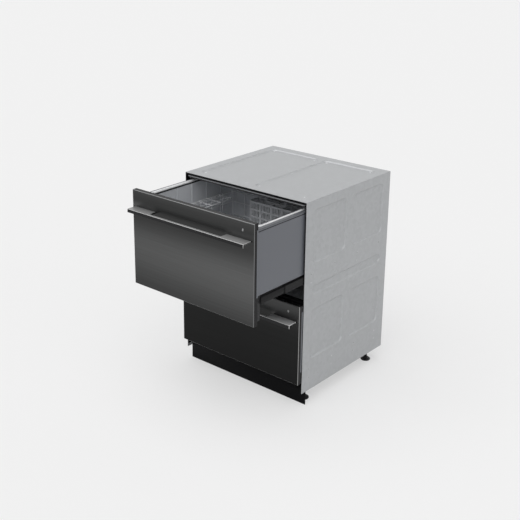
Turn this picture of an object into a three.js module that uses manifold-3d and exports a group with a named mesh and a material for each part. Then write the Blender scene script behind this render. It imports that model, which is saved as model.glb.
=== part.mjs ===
import * as THREE from 'three';
import { mergeVertices } from 'three/addons/utils/BufferGeometryUtils.js';
import Module from 'manifold-3d';

// A built-in dishwasher with two drawers, one above the other, in one body.
// Millimetres. X runs to the right, Y into the cabinet and Z up; a closed front's face is at Y 0.
const wasm = await Module();
wasm.setup();

// Clearances
const seat = 0.3; // between pieces that touch
const play = 0.4; // between telescoping runner members
const past = 1; // how far cuts and joins run past a face

// Body
const bodyWidth = 598;
const bodyDepth = 573;
const sheet = 1;
const kickHeight = 103;
const kickRecess = 50;
const kickSheet = 2;
const floorGap = 1;
const basePanDrop = 31; // below the lower front's bottom edge
const footInsetX = 39;
const footFront = 92;
const footBackInset = 53;
const footPad = 20;
const footPadHeight = 6;
const footBevel = 2;
const footNeck = 10;
const footNeckHeight = 14;
const footStem = 6;
const footStemHeight = 128;
const footBoss = 36;
const footBossHeight = 14;
const trimDepth = 20;
const trimStandoff = 4;
const railHeight = 12;
const railReveal = 2; // below the upper front's bottom edge
const braceHeight = 5;
const kickClearance = 3; // under the lower sump, which passes over it

// Fronts
const frontSideGap = 1;
const frontThickness = 20;
const frontSkin = 1.2;
const frontBevel = 1.5;
const lowerFrontHeight = 322;
const frontGap = 12;
const upperFrontHeight = 378;
const topReveal = 5;
const upperOpening = 262; // how far the upper drawer stands open

// Flat handle
const handleEndInset = 14;
const handleReach = 42;
const handleDrop = 63; // below the front's top edge
const handlePlate = 5;
const handleBarDepth = 15;
const handleEndLength = 109;
const handleLipHeight = 14;
const handleLipThickness = 4;

// Start button
const buttonEndInset = 52;
const buttonDrop = 31;
const buttonWidth = 6;
const buttonHeight = 10;
const buttonProud = 1.2;
const buttonLength = 9;
const buttonTravel = 2;
const buttonFlat = 0.03; // left flat at each end of the oval

// Door carrier behind each front
const carrierDepth = 23.7;
const carrierWall = 3;
const carrierFoot = 10; // above the front's bottom edge
const switchPost = 7;

// Wash tub
const rimDrop = 25; // below the front's top edge
const rimWidth = 24;
const rimThickness = 6;
const rimCorner = 6;
const tubSideGap = 8;
const tubBackGap = 17;
const tubWall = 3;
const tubCorner = 34;
const tubFloorRise = 10; // above the wrapper's bottom edge
const lowerBayClearance = 13;
const upperBayClearance = 40;
const ribPitch = 84;
const ribWidth = 7;
const ribDepth = 2.5;
const ribCount = 5;
const ribTopGap = 4;

// Grey wrapper round each tub
const wrapperSheet = 1.2;
const wrapperInset = 1;
const wrapperFlange = 19;

// Sump and filter
const sumpDepth = 68; // below the wrapper's bottom edge
const sumpX = 105;
const sumpY = 165;
const sumpRadius = 74;
const sumpFlange = 90;
const sumpFlangeHeight = 4;
const bowlRadius = 56;
const bowlDepth = 38;
const outletRadius = 62;
const motorRadius = 52;
const pumpRaise = 8;
const ductWidth = 48;
const filterDisc = 60;
const filterDiscHeight = 2.4;
const filterCup = 46;
const filterCupGap = 6; // above the bowl's floor
const filterGripLength = 52;
const filterGripWidth = 8;
const filterGripHeight = 8;

// Spray arm
const armReach = 205;
const armWidth = 34;
const armTip = 16;
const armThickness = 9;
const armHub = 24;
const armHubHeight = 15;
const armBladeRaise = 2;
const armPin = 6;
const armPinTop = 3; // above the hub
const armPost = 16;
const armPostHeight = 13;

// Racks
const wire = 4;
const uprightWire = 3.4;
const gridWire = 2.8;
const legWire = 3.7;
const rackSideInset = 10;
const rackFrontInset = 15;
const rackBackInset = 10;
const rackRise = 40; // above the tub floor
const rackDrop = 92; // below the rim
const rackCrossWires = 8;
const rackLongWires = 5;
const tineHeight = 66;
const tineThickness = 3.2;
const tineCount = 8;
const tineStart = 34;
const tineBackGap = 50; // before the cutlery basket
const fixedTineX = 158;
const foldTineX = 52;
const foldRod = 2.5;
const foldRodEnd = 20; // past the last tine
const shelfWidth = 76;
const shelfStart = 22;
const shelfLength = 350;
const shelfWires = 6;
const shelfRod = 2;
const shelfWireInset = 6;
const shelfWireDrop = 0.4; // thinner than the rods, above and below

// Cutlery basket
const basketWidth = 216;
const basketDepth = 62;
const basketHeight = 104;
const basketWall = 2;
const basketCells = 4;
const basketBackGap = 2;
const basketGrip = 26;
const basketGripThickness = 4;
const basketGripOverlap = 12;
const basketGripFrame = 10;
const basketGripTop = 8;
const basketHoleRaise = 4;

// Dispenser
const dispenserWidth = 150;
const dispenserHeight = 56;
const dispenserDrop = 22; // below the rim
const dispenserProud = 2;
const doorWidth = 84;
const doorThickness = 4;
const doorMargin = 6;
const capRadius = 17;
const capDepth = 7;
const capGrip = 3;
const capGripInset = 3;
const capGripProud = 5;

// Lids
const lidTravel = 10;
const lidThickness = 4;
const lidInset = 3;
const lidCorner = 8;
const sealHeight = 5;
const sealWidth = 10;
const sealInset = 2;
const lugWidth = 24;

// Telescopic runners
const runnerStart = 46;
const runnerBackGap = 26;
const runnerHeight = 34;
const runnerSheet = 2;
const runnerLip = 12;
const runnerDrop = 5; // below the wrapper's bottom edge
const bracketWidth = 3;

// Water and drain connections under the back of the base
const inletWidth = 90;
const inletDepth = 60;
const inletHeight = 46;
const inletX = 150;
const inletBackGap = 22;
const stubRadius = 10;
const stubLength = 16;
const stubPitch = 40;

// Shared planes
const bodyHeight = kickHeight + lowerFrontHeight + frontGap + upperFrontHeight + topReveal;
const bodyHalf = bodyWidth / 2;
const frontWidth = bodyWidth - 2 * frontSideGap;
const buttonX = frontWidth / 2 - buttonEndInset;
const tubHalfWidth = bodyHalf - tubSideGap;
const sideInner = bodyHalf - sheet;
const frameFront = frontThickness + trimStandoff;
const backInner = bodyDepth - sheet;
const basePanTop = kickHeight - basePanDrop;
const kickTop = basePanTop + lowerBayClearance - kickClearance;
const lowerFrontTop = kickHeight + lowerFrontHeight;
const upperFrontBottom = lowerFrontTop + frontGap;
const upperFrontTop = upperFrontBottom + upperFrontHeight;
const railTop = upperFrontBottom - railReveal;
const topUnderside = bodyHeight - sheet;
const carrierFront = frontThickness + seat;
const carrierBack = carrierFront + carrierDepth;
const tubFront = carrierBack + seat;
const tubBack = bodyDepth - tubBackGap;
const tubInnerHalf = tubHalfWidth - rimWidth;
const tubInnerFront = tubFront + tubWall;
const tubInnerBack = tubBack - rimWidth;
const wrapperHalf = tubHalfWidth - wrapperInset;
const armY = (tubInnerFront + tubInnerBack) / 2;
const footHalf = bodyHalf - footInsetX;
const footBack = bodyDepth - footBackInset;
const runnerEnd = backInner - runnerBackGap;

const model = new THREE.Group();
model.position.y = (upperOpening + handleReach - bodyDepth) / 2;

const finishes = {
  blackSteel: { color: 0x3f4242, roughness: 0.38, metalness: 0.85 },
  blackTrim: { color: 0x151617, roughness: 0.5, metalness: 0.3 },
  greyPaint: { color: 0x75777c, roughness: 0.5, metalness: 0.2 },
  zincSheet: { color: 0x9a9d9f, roughness: 0.45, metalness: 0.8 },
  palePlastic: { color: 0xc9cbcd, roughness: 0.45, metalness: 0 },
  greyPlastic: { color: 0x8d9094, roughness: 0.5, metalness: 0 },
  darkPlastic: { color: 0x2b2d30, roughness: 0.55, metalness: 0 },
  rubber: { color: 0x202122, roughness: 0.8, metalness: 0 },
  wire: { color: 0xb4b7ba, roughness: 0.4, metalness: 0.1 },
};

// Corners are rounded to a thousandth, so that faces meant to be in one plane are, and then
// joined where they meet. A triangle that this leaves without an area is dropped.
function weld(geometry) {
  const { array } = geometry.attributes.position;
  array.forEach((value, i) => {
    array[i] = Math.round(value * 1000) / 1000;
  });
  const welded = mergeVertices(geometry, 1e-4);
  const corners = Array.from(welded.index.array);
  const kept = [];
  for (let i = 0; i < corners.length; i += 3) {
    const [a, b, c] = corners.slice(i, i + 3);
    if (a !== b && b !== c && c !== a) kept.push(a, b, c);
  }
  welded.setIndex(kept);
  return welded;
}

function solid(geometry) {
  geometry.deleteAttribute('normal');
  geometry.deleteAttribute('uv');
  const welded = weld(geometry);
  const source = new wasm.Mesh({
    numProp: 3,
    vertProperties: new Float32Array(welded.attributes.position.array),
    triVerts: new Uint32Array(welded.index.array),
  });
  return new wasm.Manifold(source);
}

function block(x0, x1, y0, y1, z0, z1) {
  const geometry = new THREE.BoxGeometry(x1 - x0, y1 - y0, z1 - z0);
  geometry.translate((x0 + x1) / 2, (y0 + y1) / 2, (z0 + z1) / 2);
  return solid(geometry);
}

// An outline drawn in X and Y, raised from z0 to z1.
function raised(shape, z0, z1, curveSegments = 5) {
  const geometry = new THREE.ExtrudeGeometry(shape, { depth: z1 - z0, bevelEnabled: false, curveSegments });
  geometry.translate(0, 0, z0);
  return solid(geometry);
}

// An outline drawn in X and Z, run along Y from y0 to y1.
function runAlongY(shape, y0, y1, curveSegments = 5) {
  const geometry = new THREE.ExtrudeGeometry(shape, { depth: y1 - y0, bevelEnabled: false, curveSegments });
  geometry.rotateX(Math.PI / 2);
  geometry.translate(0, y1, 0);
  return solid(geometry);
}

function roundedRect(x0, x1, y0, y1, radius) {
  const shape = new THREE.Shape();
  shape.moveTo(x0 + radius, y0);
  shape.lineTo(x1 - radius, y0);
  shape.absarc(x1 - radius, y0 + radius, radius, -Math.PI / 2, 0);
  shape.lineTo(x1, y1 - radius);
  shape.absarc(x1 - radius, y1 - radius, radius, 0, Math.PI / 2);
  shape.lineTo(x0 + radius, y1);
  shape.absarc(x0 + radius, y1 - radius, radius, Math.PI / 2, Math.PI);
  shape.lineTo(x0, y0 + radius);
  shape.absarc(x0 + radius, y0 + radius, radius, Math.PI, Math.PI * 1.5);
  return shape;
}

function post(x, y, z0, z1, radius, sides = 16) {
  const geometry = new THREE.CylinderGeometry(radius, radius, z1 - z0, sides);
  geometry.rotateX(Math.PI / 2);
  geometry.translate(x, y, (z0 + z1) / 2);
  return solid(geometry);
}

function rodAlongY(x, z, y0, y1, radius, sides = 10) {
  const geometry = new THREE.CylinderGeometry(radius, radius, y1 - y0, sides);
  geometry.translate(x, (y0 + y1) / 2, z);
  return solid(geometry);
}

function rodAlongX(y, z, x0, x1, radius, sides = 10) {
  const geometry = new THREE.CylinderGeometry(radius, radius, x1 - x0, sides);
  geometry.rotateZ(Math.PI / 2);
  geometry.translate((x0 + x1) / 2, y, z);
  return solid(geometry);
}

// A profile of [radius, height] points turned about a vertical axis.
function turned(profile, x, y, sides = 28) {
  const geometry = new THREE.LatheGeometry(profile.map(([r, z]) => new THREE.Vector2(r, z)), sides);
  geometry.rotateX(Math.PI / 2);
  geometry.translate(x, y, 0);
  return solid(geometry);
}

function join(parts) {
  return parts.reduce((whole, part) => whole.add(part));
}

function cut(whole, parts) {
  return parts.reduce((rest, part) => rest.subtract(part), whole);
}

function spread(from, to, count) {
  return Array.from({ length: count }, (_, i) => from + ((to - from) * i) / (count - 1));
}

function addPiece(parent, name, shape, finish) {
  const { vertProperties, triVerts } = shape.asOriginal().getMesh();
  const geometry = new THREE.BufferGeometry();
  geometry.setAttribute('position', new THREE.BufferAttribute(vertProperties, 3));
  geometry.setIndex(new THREE.BufferAttribute(triVerts, 1));
  const piece = new THREE.Mesh(weld(geometry), new THREE.MeshStandardMaterial(finishes[finish]));
  piece.name = name;
  parent.add(piece);
}

// Body: side, top and back sheets, the base pan on its feet, and the black frame round the bays.
function addBody() {
  const sheetBottom = basePanTop - footBossHeight;
  const sheetBack = backInner - seat;
  for (const [name, sign] of [['left', -1], ['right', 1]]) {
    const edges = [sign * sideInner, sign * bodyHalf].sort((a, b) => a - b);
    const panel = block(...edges, frameFront, sheetBack, sheetBottom, topUnderside - seat);
    addPiece(model, `side_panel_${name}`, panel, 'zincSheet');
  }
  const top = block(-bodyHalf, bodyHalf, frameFront, bodyDepth, topUnderside, bodyHeight);
  addPiece(model, 'top_panel', top, 'zincSheet');
  const back = block(-bodyHalf, bodyHalf, backInner, bodyDepth, sheetBottom, topUnderside - seat);
  addPiece(model, 'back_panel', back, 'zincSheet');

  const panEdge = sideInner - seat;
  const panFront = kickRecess + kickSheet + seat;
  const pan = block(-panEdge, panEdge, panFront, backInner - seat, basePanTop - sheet, basePanTop);
  const bosses = [];
  const holes = [];
  for (const x of [-footHalf, footHalf]) {
    for (const y of [footFront, footBack]) {
      const reach = footBoss / 2;
      const under = basePanTop - footBossHeight;
      bosses.push(block(x - reach, x + reach, y - reach, y + reach, under, basePanTop));
      holes.push(post(x, y, under - past, basePanTop + past, footStem + seat));
    }
  }
  addPiece(model, 'base_pan', cut(join([pan, ...bosses]), holes), 'zincSheet');

  const kick = block(-panEdge, panEdge, kickRecess, kickRecess + kickSheet, floorGap, kickTop);
  addPiece(model, 'toe_kick', kick, 'blackTrim');

  const frameBack = frameFront + trimDepth;
  const trimInner = panEdge - runnerSheet - play + seat; // the middle runners pass inside it
  const frameTop = topUnderside - seat;
  const frame = join([
    block(-panEdge, -trimInner, frameFront, frameBack, basePanTop + seat, frameTop),
    block(trimInner, panEdge, frameFront, frameBack, basePanTop + seat, frameTop),
    block(-panEdge, panEdge, frameFront, frameBack, frameTop - braceHeight, frameTop),
    block(-panEdge, panEdge, frameFront, frameBack, railTop - railHeight, railTop),
  ]);
  addPiece(model, 'front_frame', frame, 'blackTrim');
}

function addFeet() {
  const places = { front_left: [-footHalf, footFront], front_right: [footHalf, footFront] };
  places.back_left = [-footHalf, footBack];
  places.back_right = [footHalf, footBack];
  const profile = [
    [0, 0],
    [footPad - footBevel, 0],
    [footPad, footBevel],
    [footPad, footPadHeight],
    [footNeck, footNeckHeight],
    [footStem, footNeckHeight],
    [footStem, footStemHeight],
    [0, footStemHeight],
  ];
  for (const [place, [x, y]] of Object.entries(places)) {
    addPiece(model, `foot_${place}`, turned(profile, x, y, 16), 'darkPlastic');
  }
}

function addInletBlock() {
  const top = basePanTop - sheet - seat;
  const bottom = top - inletHeight;
  const back = bodyDepth - inletBackGap;
  const body = block(inletX - inletWidth / 2, inletX + inletWidth / 2, back - inletDepth, back, bottom, top);
  const middle = (top + bottom) / 2;
  const stubs = [-1, 1].map((side) =>
    rodAlongY(inletX + (side * stubPitch) / 2, middle, back - past, back + stubLength, stubRadius, 16),
  );
  addPiece(model, 'inlet_block', join([body, ...stubs]), 'darkPlastic');
}

// A pan of folded steel, open at the back, with a hole for the button.
function frontPanel(drawer) {
  const half = frontWidth / 2;
  const { bottom, top } = drawer;
  const outline = new THREE.Shape();
  outline.moveTo(-half + frontBevel, bottom + frontBevel);
  outline.lineTo(half - frontBevel, bottom + frontBevel);
  outline.lineTo(half - frontBevel, top - frontBevel);
  outline.lineTo(-half + frontBevel, top - frontBevel);
  const geometry = new THREE.ExtrudeGeometry(outline, {
    depth: frontThickness,
    bevelThickness: frontBevel,
    bevelSize: frontBevel,
    bevelSegments: 1,
  });
  geometry.rotateX(Math.PI / 2);
  geometry.translate(0, frontThickness + frontBevel, 0);
  const rear = frontThickness * 2;
  const behind = block(-half - past, half + past, frontThickness, rear, bottom - past, top + past);
  const inner = half - frontSkin;
  const hollow = block(-inner, inner, frontSkin, rear, bottom + frontSkin, top - frontSkin);
  const hole = runAlongY(buttonOutline(drawer, seat), -1, frontThickness);
  return cut(solid(geometry), [behind, hollow, hole]);
}

function buttonOutline(drawer, margin) {
  const middle = drawer.top - buttonDrop;
  const x = buttonWidth / 2 + margin;
  const z = buttonHeight / 2 + margin;
  return roundedRect(buttonX - x, buttonX + x, middle - z, middle + z, x - buttonFlat);
}

function handle(drawer) {
  const end = frontWidth / 2 - handleEndInset;
  const top = drawer.top - handleDrop;
  const under = top - handlePlate;
  const barBack = -handleReach + handleBarDepth;
  const blockInner = end - handleEndLength;
  return join([
    block(-end, end, -handleReach, barBack, under, top),
    block(-end, -blockInner, -handleReach, -seat, under, top),
    block(blockInner, end, -handleReach, -seat, under, top),
    block(-end, end, -handleReach, -handleReach + handleLipThickness, top - handleLipHeight, top),
  ]);
}

function dispenserBox(drawer, margin) {
  const half = dispenserWidth / 2 + margin;
  const top = drawer.rim - dispenserDrop + margin;
  const bottom = drawer.rim - dispenserDrop - dispenserHeight - margin;
  return block(-half, half, carrierBack - carrierWall, tubInnerFront + dispenserProud, bottom, top);
}

// A moulded tray inside the front, stepped back to a shell that carries the dispenser. It is
// open towards the front, with a post behind the button.
function doorCarrier(drawer) {
  const trayHalf = frontWidth / 2 - frontSkin - seat;
  const trayFront = frontSkin + seat;
  const trayBottom = drawer.bottom + frontSkin + seat;
  const trayTop = drawer.top - frontSkin - seat;
  const shellHalf = wrapperHalf - wrapperSheet - seat;
  const shellBottom = drawer.bottom + carrierFoot;
  const shellTop = drawer.rim - rimThickness - seat;
  const wall = carrierWall;
  const tray = block(-trayHalf, trayHalf, trayFront, frontThickness, trayBottom, trayTop);
  const shell = block(-shellHalf, shellHalf, frontThickness - past, carrierBack, shellBottom, shellTop);
  const trayHollow = block(
    -trayHalf + wall,
    trayHalf - wall,
    trayFront - past,
    frontThickness - wall,
    trayBottom + wall,
    trayTop - wall,
  );
  const shellHollow = block(
    -shellHalf + wall,
    shellHalf - wall,
    trayFront,
    carrierBack - wall,
    shellBottom + wall,
    shellTop - wall,
  );
  const middle = drawer.top - buttonDrop;
  const reach = switchPost / 2;
  const postFront = buttonLength - buttonProud + buttonTravel + seat;
  const switchStem = block(
    buttonX - reach,
    buttonX + reach,
    postFront,
    frontThickness - past,
    middle - reach,
    middle + reach,
  );
  const body = cut(join([tray, shell]), [trayHollow, shellHollow]);
  return join([body, switchStem, dispenserBox(drawer, 0)]);
}

function dispenserDoor(drawer) {
  const y = tubInnerFront + dispenserProud + seat + doorThickness / 2;
  const x0 = -dispenserWidth / 2 + doorMargin;
  const x1 = x0 + doorWidth;
  const z0 = drawer.rim - dispenserDrop - dispenserHeight + doorMargin;
  const z1 = drawer.rim - dispenserDrop - doorMargin;
  const plate = block(x0, x1, y - doorThickness / 2, y + doorThickness / 2, z0, z1);
  return join([plate, rodAlongX(y, z0, x0, x1, doorThickness / 2, 16)]);
}

function rinseCap(drawer) {
  const x = dispenserWidth / 2 - doorMargin - capRadius;
  const z = drawer.rim - dispenserDrop - dispenserHeight / 2;
  const y = tubInnerFront + dispenserProud + seat;
  const back = y + capDepth;
  const reach = capRadius - capGripInset;
  const disc = rodAlongY(x, z, y, back, capRadius, 24);
  const grip = block(x - reach, x + reach, back - past, back + capGripProud, z - capGrip, z + capGrip);
  return join([disc, grip]);
}

function tub(drawer) {
  const floor = drawer.floor;
  const rimBottom = drawer.rim - rimThickness;
  const wallOuter = tubInnerHalf + tubWall;
  const wallBack = tubInnerBack + tubWall;
  const rimOutline = roundedRect(-tubHalfWidth, tubHalfWidth, carrierFront, tubBack, rimCorner);
  const rim = raised(rimOutline, rimBottom, drawer.rim);
  const outer = roundedRect(-wallOuter, wallOuter, tubFront, wallBack, tubCorner);
  const walls = raised(outer, floor - tubWall, rimBottom + past);
  const inside = roundedRect(-tubInnerHalf, tubInnerHalf, tubInnerFront, tubInnerBack, tubCorner - tubWall);
  const hollow = raised(inside, floor, drawer.rim + past);
  const ribs = [];
  const ribTop = rimBottom - ribTopGap;
  for (let i = 0; i < ribCount; i += 1) {
    const y = armY + (i - (ribCount - 1) / 2) * ribPitch;
    const outerX = tubInnerHalf + past;
    const innerX = tubInnerHalf - ribDepth;
    ribs.push(block(innerX, outerX, y - ribWidth / 2, y + ribWidth / 2, floor - past, ribTop));
    ribs.push(block(-outerX, -innerX, y - ribWidth / 2, y + ribWidth / 2, floor - past, ribTop));
  }
  const outlet = post(sumpX, sumpY, floor - tubWall - past, floor + past, outletRadius, 28);
  const window = dispenserBox(drawer, seat);
  const armSeat = post(0, armY, floor - past, floor + armPostHeight, armPost);
  const pin = post(0, armY, floor, floor + armPostHeight + armHubHeight + armPinTop, armPin);
  return join([cut(join([rim, walls]), [hollow, outlet, window]), ...ribs, armSeat, pin]);
}

function wrapper(drawer) {
  const bottom = drawer.sideBottom;
  const top = drawer.rim - rimThickness - seat;
  const inner = wrapperHalf - wrapperSheet;
  const back = tubBack - wrapperInset;
  const flangeInner = wrapperHalf - wrapperFlange;
  return join([
    block(-wrapperHalf, -inner, carrierFront, back, bottom, top),
    block(inner, wrapperHalf, carrierFront, back, bottom, top),
    block(-wrapperHalf, wrapperHalf, back - wrapperSheet, back, bottom, top),
    block(-wrapperHalf, -flangeInner, carrierBack + seat, back, bottom, bottom + wrapperSheet),
    block(flangeInner, wrapperHalf, carrierBack + seat, back, bottom, bottom + wrapperSheet),
  ]);
}

// A bowl under the tub's outlet, joined to the pump housing under the spray arm.
function sump(drawer) {
  const top = drawer.floor - tubWall - seat;
  const bottom = drawer.sideBottom - sumpDepth;
  const flangeBottom = top - sumpFlangeHeight;
  const body = post(sumpX, sumpY, bottom, top, sumpRadius, 28);
  const flange = post(sumpX, sumpY, flangeBottom, top, sumpFlange, 28);
  const pump = post(0, armY, bottom + pumpRaise, top, motorRadius, 24);
  const duct = block(0, ductWidth, sumpY, armY, bottom + 2 * pumpRaise, flangeBottom);
  const bowl = post(sumpX, sumpY, top - bowlDepth, top + past, bowlRadius, 28);
  return cut(join([body, flange, pump, duct]), [bowl]);
}

function drainFilter(drawer) {
  const seatHeight = drawer.floor - tubWall - seat;
  const base = seatHeight + seat;
  const discTop = base + filterDiscHeight;
  const disc = post(sumpX, sumpY, base, discTop, filterDisc, 28);
  const cup = post(sumpX, sumpY, seatHeight - bowlDepth + filterCupGap, base + past, filterCup, 20);
  const x = filterGripLength / 2;
  const y = filterGripWidth / 2;
  const grip = block(sumpX - x, sumpX + x, sumpY - y, sumpY + y, discTop - past, discTop + filterGripHeight);
  return join([disc, cup, grip]);
}

function sprayArm(drawer) {
  const z0 = drawer.floor + armPostHeight + seat;
  const half = armWidth / 2;
  const blades = raised(
    roundedRect(-armReach, armReach, armY - half, armY + half, armTip),
    z0 + armBladeRaise,
    z0 + armBladeRaise + armThickness,
  );
  const hub = post(0, armY, z0, z0 + armHubHeight, armHub, 20);
  const bore = post(0, armY, z0 - past, z0 + armHubHeight + past, armPin + seat);
  return cut(join([blades, hub]), [bore]);
}

function rackPlan(drawer) {
  const half = tubInnerHalf - rackSideInset;
  const front = tubInnerFront + rackFrontInset;
  const back = tubInnerBack - rackBackInset;
  const floor = drawer.floor + rackRise;
  const top = drawer.rim - rackDrop;
  const basketBack = back - wire - basketBackGap;
  const tines = spread(front + tineStart, basketBack - basketDepth - tineBackGap, tineCount);
  return { half, front, back, floor, top, basketBack, tines };
}

// A square wire centred on the line from one point to another, along one axis.
function squareWire(from, to, thickness) {
  const half = thickness / 2;
  const ends = [0, 1, 2].map((axis) => {
    const grow = from[axis] === to[axis] ? half : 0;
    return [Math.min(from[axis], to[axis]) - grow, Math.max(from[axis], to[axis]) + grow];
  });
  return block(...ends.flat());
}

function dishRack(drawer) {
  const { half, front, back, floor, top, tines } = rackPlan(drawer);
  const edge = wire / 2;
  const sides = [-half + edge, half - edge];
  const ends = [front + edge, back - edge];
  const crossZ = floor + wire - gridWire / 2;
  const longZ = crossZ - gridWire / 2;
  const foot = longZ - gridWire;
  const parts = [];
  for (const y of spread(ends[0], ends[1], rackCrossWires)) {
    parts.push(squareWire([sides[0], y, crossZ], [sides[1], y, crossZ], gridWire));
    for (const x of sides) parts.push(squareWire([x, y, foot], [x, y, top - past], uprightWire));
  }
  for (const x of spread(sides[0], sides[1], rackLongWires)) {
    parts.push(squareWire([x, ends[0], longZ], [x, ends[1], longZ], gridWire));
    if (sides.includes(x)) continue;
    for (const y of ends) parts.push(squareWire([x, y, foot], [x, y, top - past], uprightWire));
  }
  for (const x of sides) {
    for (const y of ends) parts.push(squareWire([x, y, drawer.floor + seat], [x, y, floor + past], legWire));
  }
  const rim = block(-half, half, front, back, top - wire, top);
  const inside = block(-half + wire, half - wire, front + wire, back - wire, floor, top + past);
  parts.push(cut(rim, [inside]));
  parts.push(squareWire([fixedTineX, ends[0], longZ], [fixedTineX, ends[1], longZ], gridWire));
  for (const y of tines) {
    parts.push(squareWire([fixedTineX, y, longZ], [fixedTineX, y, floor + wire + tineHeight], tineThickness));
  }
  return join(parts);
}

function foldingTines(drawer) {
  const { floor, tines } = rackPlan(drawer);
  const axis = floor + wire + seat + foldRod;
  const rodStart = tines[0] - foldRodEnd;
  const parts = [rodAlongY(foldTineX, axis, rodStart, tines.at(-1) + foldRodEnd, foldRod)];
  const half = tineThickness / 2;
  for (const y of tines) {
    parts.push(block(foldTineX - half, foldTineX + half, y - half, y + half, axis, axis + tineHeight));
  }
  return join(parts);
}

// A wire shelf that lies over the rack's side and folds up towards the tub wall.
function cupShelf(drawer, side) {
  const { half, front, top } = rackPlan(drawer);
  const hingeX = half - wire / 2;
  const z = top + seat + shelfRod;
  const start = front + shelfStart;
  const end = start + shelfLength;
  const inner = hingeX - shelfWidth;
  const parts = [rodAlongY(hingeX, z, start, end, shelfRod)];
  parts.push(block(inner, inner + wire, start, end, z - shelfRod, z + shelfRod));
  const reach = shelfRod - shelfWireDrop;
  for (const y of spread(start + shelfWireInset, end - shelfWireInset - wire, shelfWires)) {
    parts.push(block(inner, hingeX, y, y + wire, z - reach, z + reach));
  }
  const shelf = join(parts);
  return side < 0 ? shelf.mirror([1, 0, 0]) : shelf;
}

function cutleryBasket(drawer) {
  const { basketBack: y1, floor } = rackPlan(drawer);
  const y0 = y1 - basketDepth;
  const z0 = floor + wire + seat;
  const z1 = z0 + basketHeight;
  const half = basketWidth / 2;
  const cell = (basketWidth - basketWall) / basketCells;
  const cells = [];
  for (let i = 0; i < basketCells; i += 1) {
    const x0 = -half + basketWall + i * cell;
    const x1 = x0 + cell - basketWall;
    cells.push(block(x0, x1, y0 + basketWall, y1 - basketWall, z0 + basketWall, z1 + past));
  }
  const middle = (y0 + y1) / 2;
  const gripHalf = half / 2;
  const gripY = basketGripThickness / 2;
  const holeHalf = gripHalf - basketGripFrame;
  const gripTop = z1 + basketGrip;
  const grip = block(-gripHalf, gripHalf, middle - gripY, middle + gripY, z1 - basketGripOverlap, gripTop);
  const gripHole = block(-holeHalf, holeHalf, y0, y1, z1 + basketHoleRaise, gripTop - basketGripTop);
  return join([cut(block(-half, half, y0, y1, z0, z1), cells), cut(grip, [gripHole])]);
}

function lidLevels(drawer) {
  const sealBottom = drawer.rim + lidTravel + seat;
  const plate = sealBottom + sealHeight + seat;
  return { sealBottom, plate };
}

function lid(drawer) {
  const { plate } = lidLevels(drawer);
  const half = tubHalfWidth - lidInset;
  const top = plate + lidThickness;
  const lugs = [];
  for (const y of [tubFront + rimWidth, tubInnerBack - rimWidth]) {
    const reach = sideInner - seat;
    lugs.push(block(-reach, reach, y, y + lugWidth, plate, top));
  }
  return join([raised(roundedRect(-half, half, frameFront, tubBack, lidCorner), plate, top), ...lugs]);
}

function lidSeal(drawer) {
  const { sealBottom } = lidLevels(drawer);
  const half = tubHalfWidth - lidInset - sealInset;
  const front = frameFront + sealInset;
  const back = tubBack - sealInset;
  const top = sealBottom + sealHeight;
  const inner = half - sealWidth;
  const outer = raised(roundedRect(-half, half, front, back, lidCorner), sealBottom, top);
  const inside = roundedRect(-inner, inner, front + sealWidth, back - sealWidth, lidCorner);
  return cut(outer, [raised(inside, sealBottom - past, top + past)]);
}

// A channel in X and Z that opens inwards, with its back at x1.
function channel(x0, x1, middle, halfHeight) {
  const body = block(x0, x1, runnerStart, runnerEnd, middle - halfHeight, middle + halfHeight);
  const reach = halfHeight - runnerSheet;
  const back = x1 - runnerSheet;
  const groove = block(x0 - past, back, runnerStart - past, runnerEnd + past, middle - reach, middle + reach);
  return cut(body, [groove]);
}

function addRunners(drawer) {
  const middle = drawer.sideBottom - runnerDrop - runnerHeight / 2;
  const wall = sideInner - seat;
  const mouth = wall - runnerLip;
  const outerHalf = runnerHeight / 2;
  const midHalf = outerHalf - runnerSheet - play;
  const innerHalf = midHalf - runnerSheet - play;
  const midBack = wall - runnerSheet - play;
  const innerBack = midBack - runnerSheet - play;
  const outer = channel(mouth, wall, middle, outerHalf);
  const mid = channel(mouth, midBack, middle, midHalf);
  const bracket = mouth - play;
  const bracketInner = Math.min(bracket, wrapperHalf) - bracketWidth;
  const inner = join([
    block(bracket - past, innerBack, runnerStart, runnerEnd, middle - innerHalf, middle + innerHalf),
    block(bracketInner, bracket, tubFront, runnerEnd, middle - innerHalf, drawer.sideBottom - seat),
  ]);
  const half = new THREE.Group();
  half.position.y = -drawer.opening / 2;
  model.add(half);
  for (const [side, sign] of [['left', -1], ['right', 1]]) {
    const turn = (shape) => (sign < 0 ? shape.mirror([1, 0, 0]) : shape);
    addPiece(model, `${drawer.name}_outer_runner_${side}`, turn(outer), 'zincSheet');
    addPiece(half, `${drawer.name}_middle_runner_${side}`, turn(mid), 'zincSheet');
    addPiece(drawer.group, `${drawer.name}_inner_runner_${side}`, turn(inner), 'blackTrim');
  }
}

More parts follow.
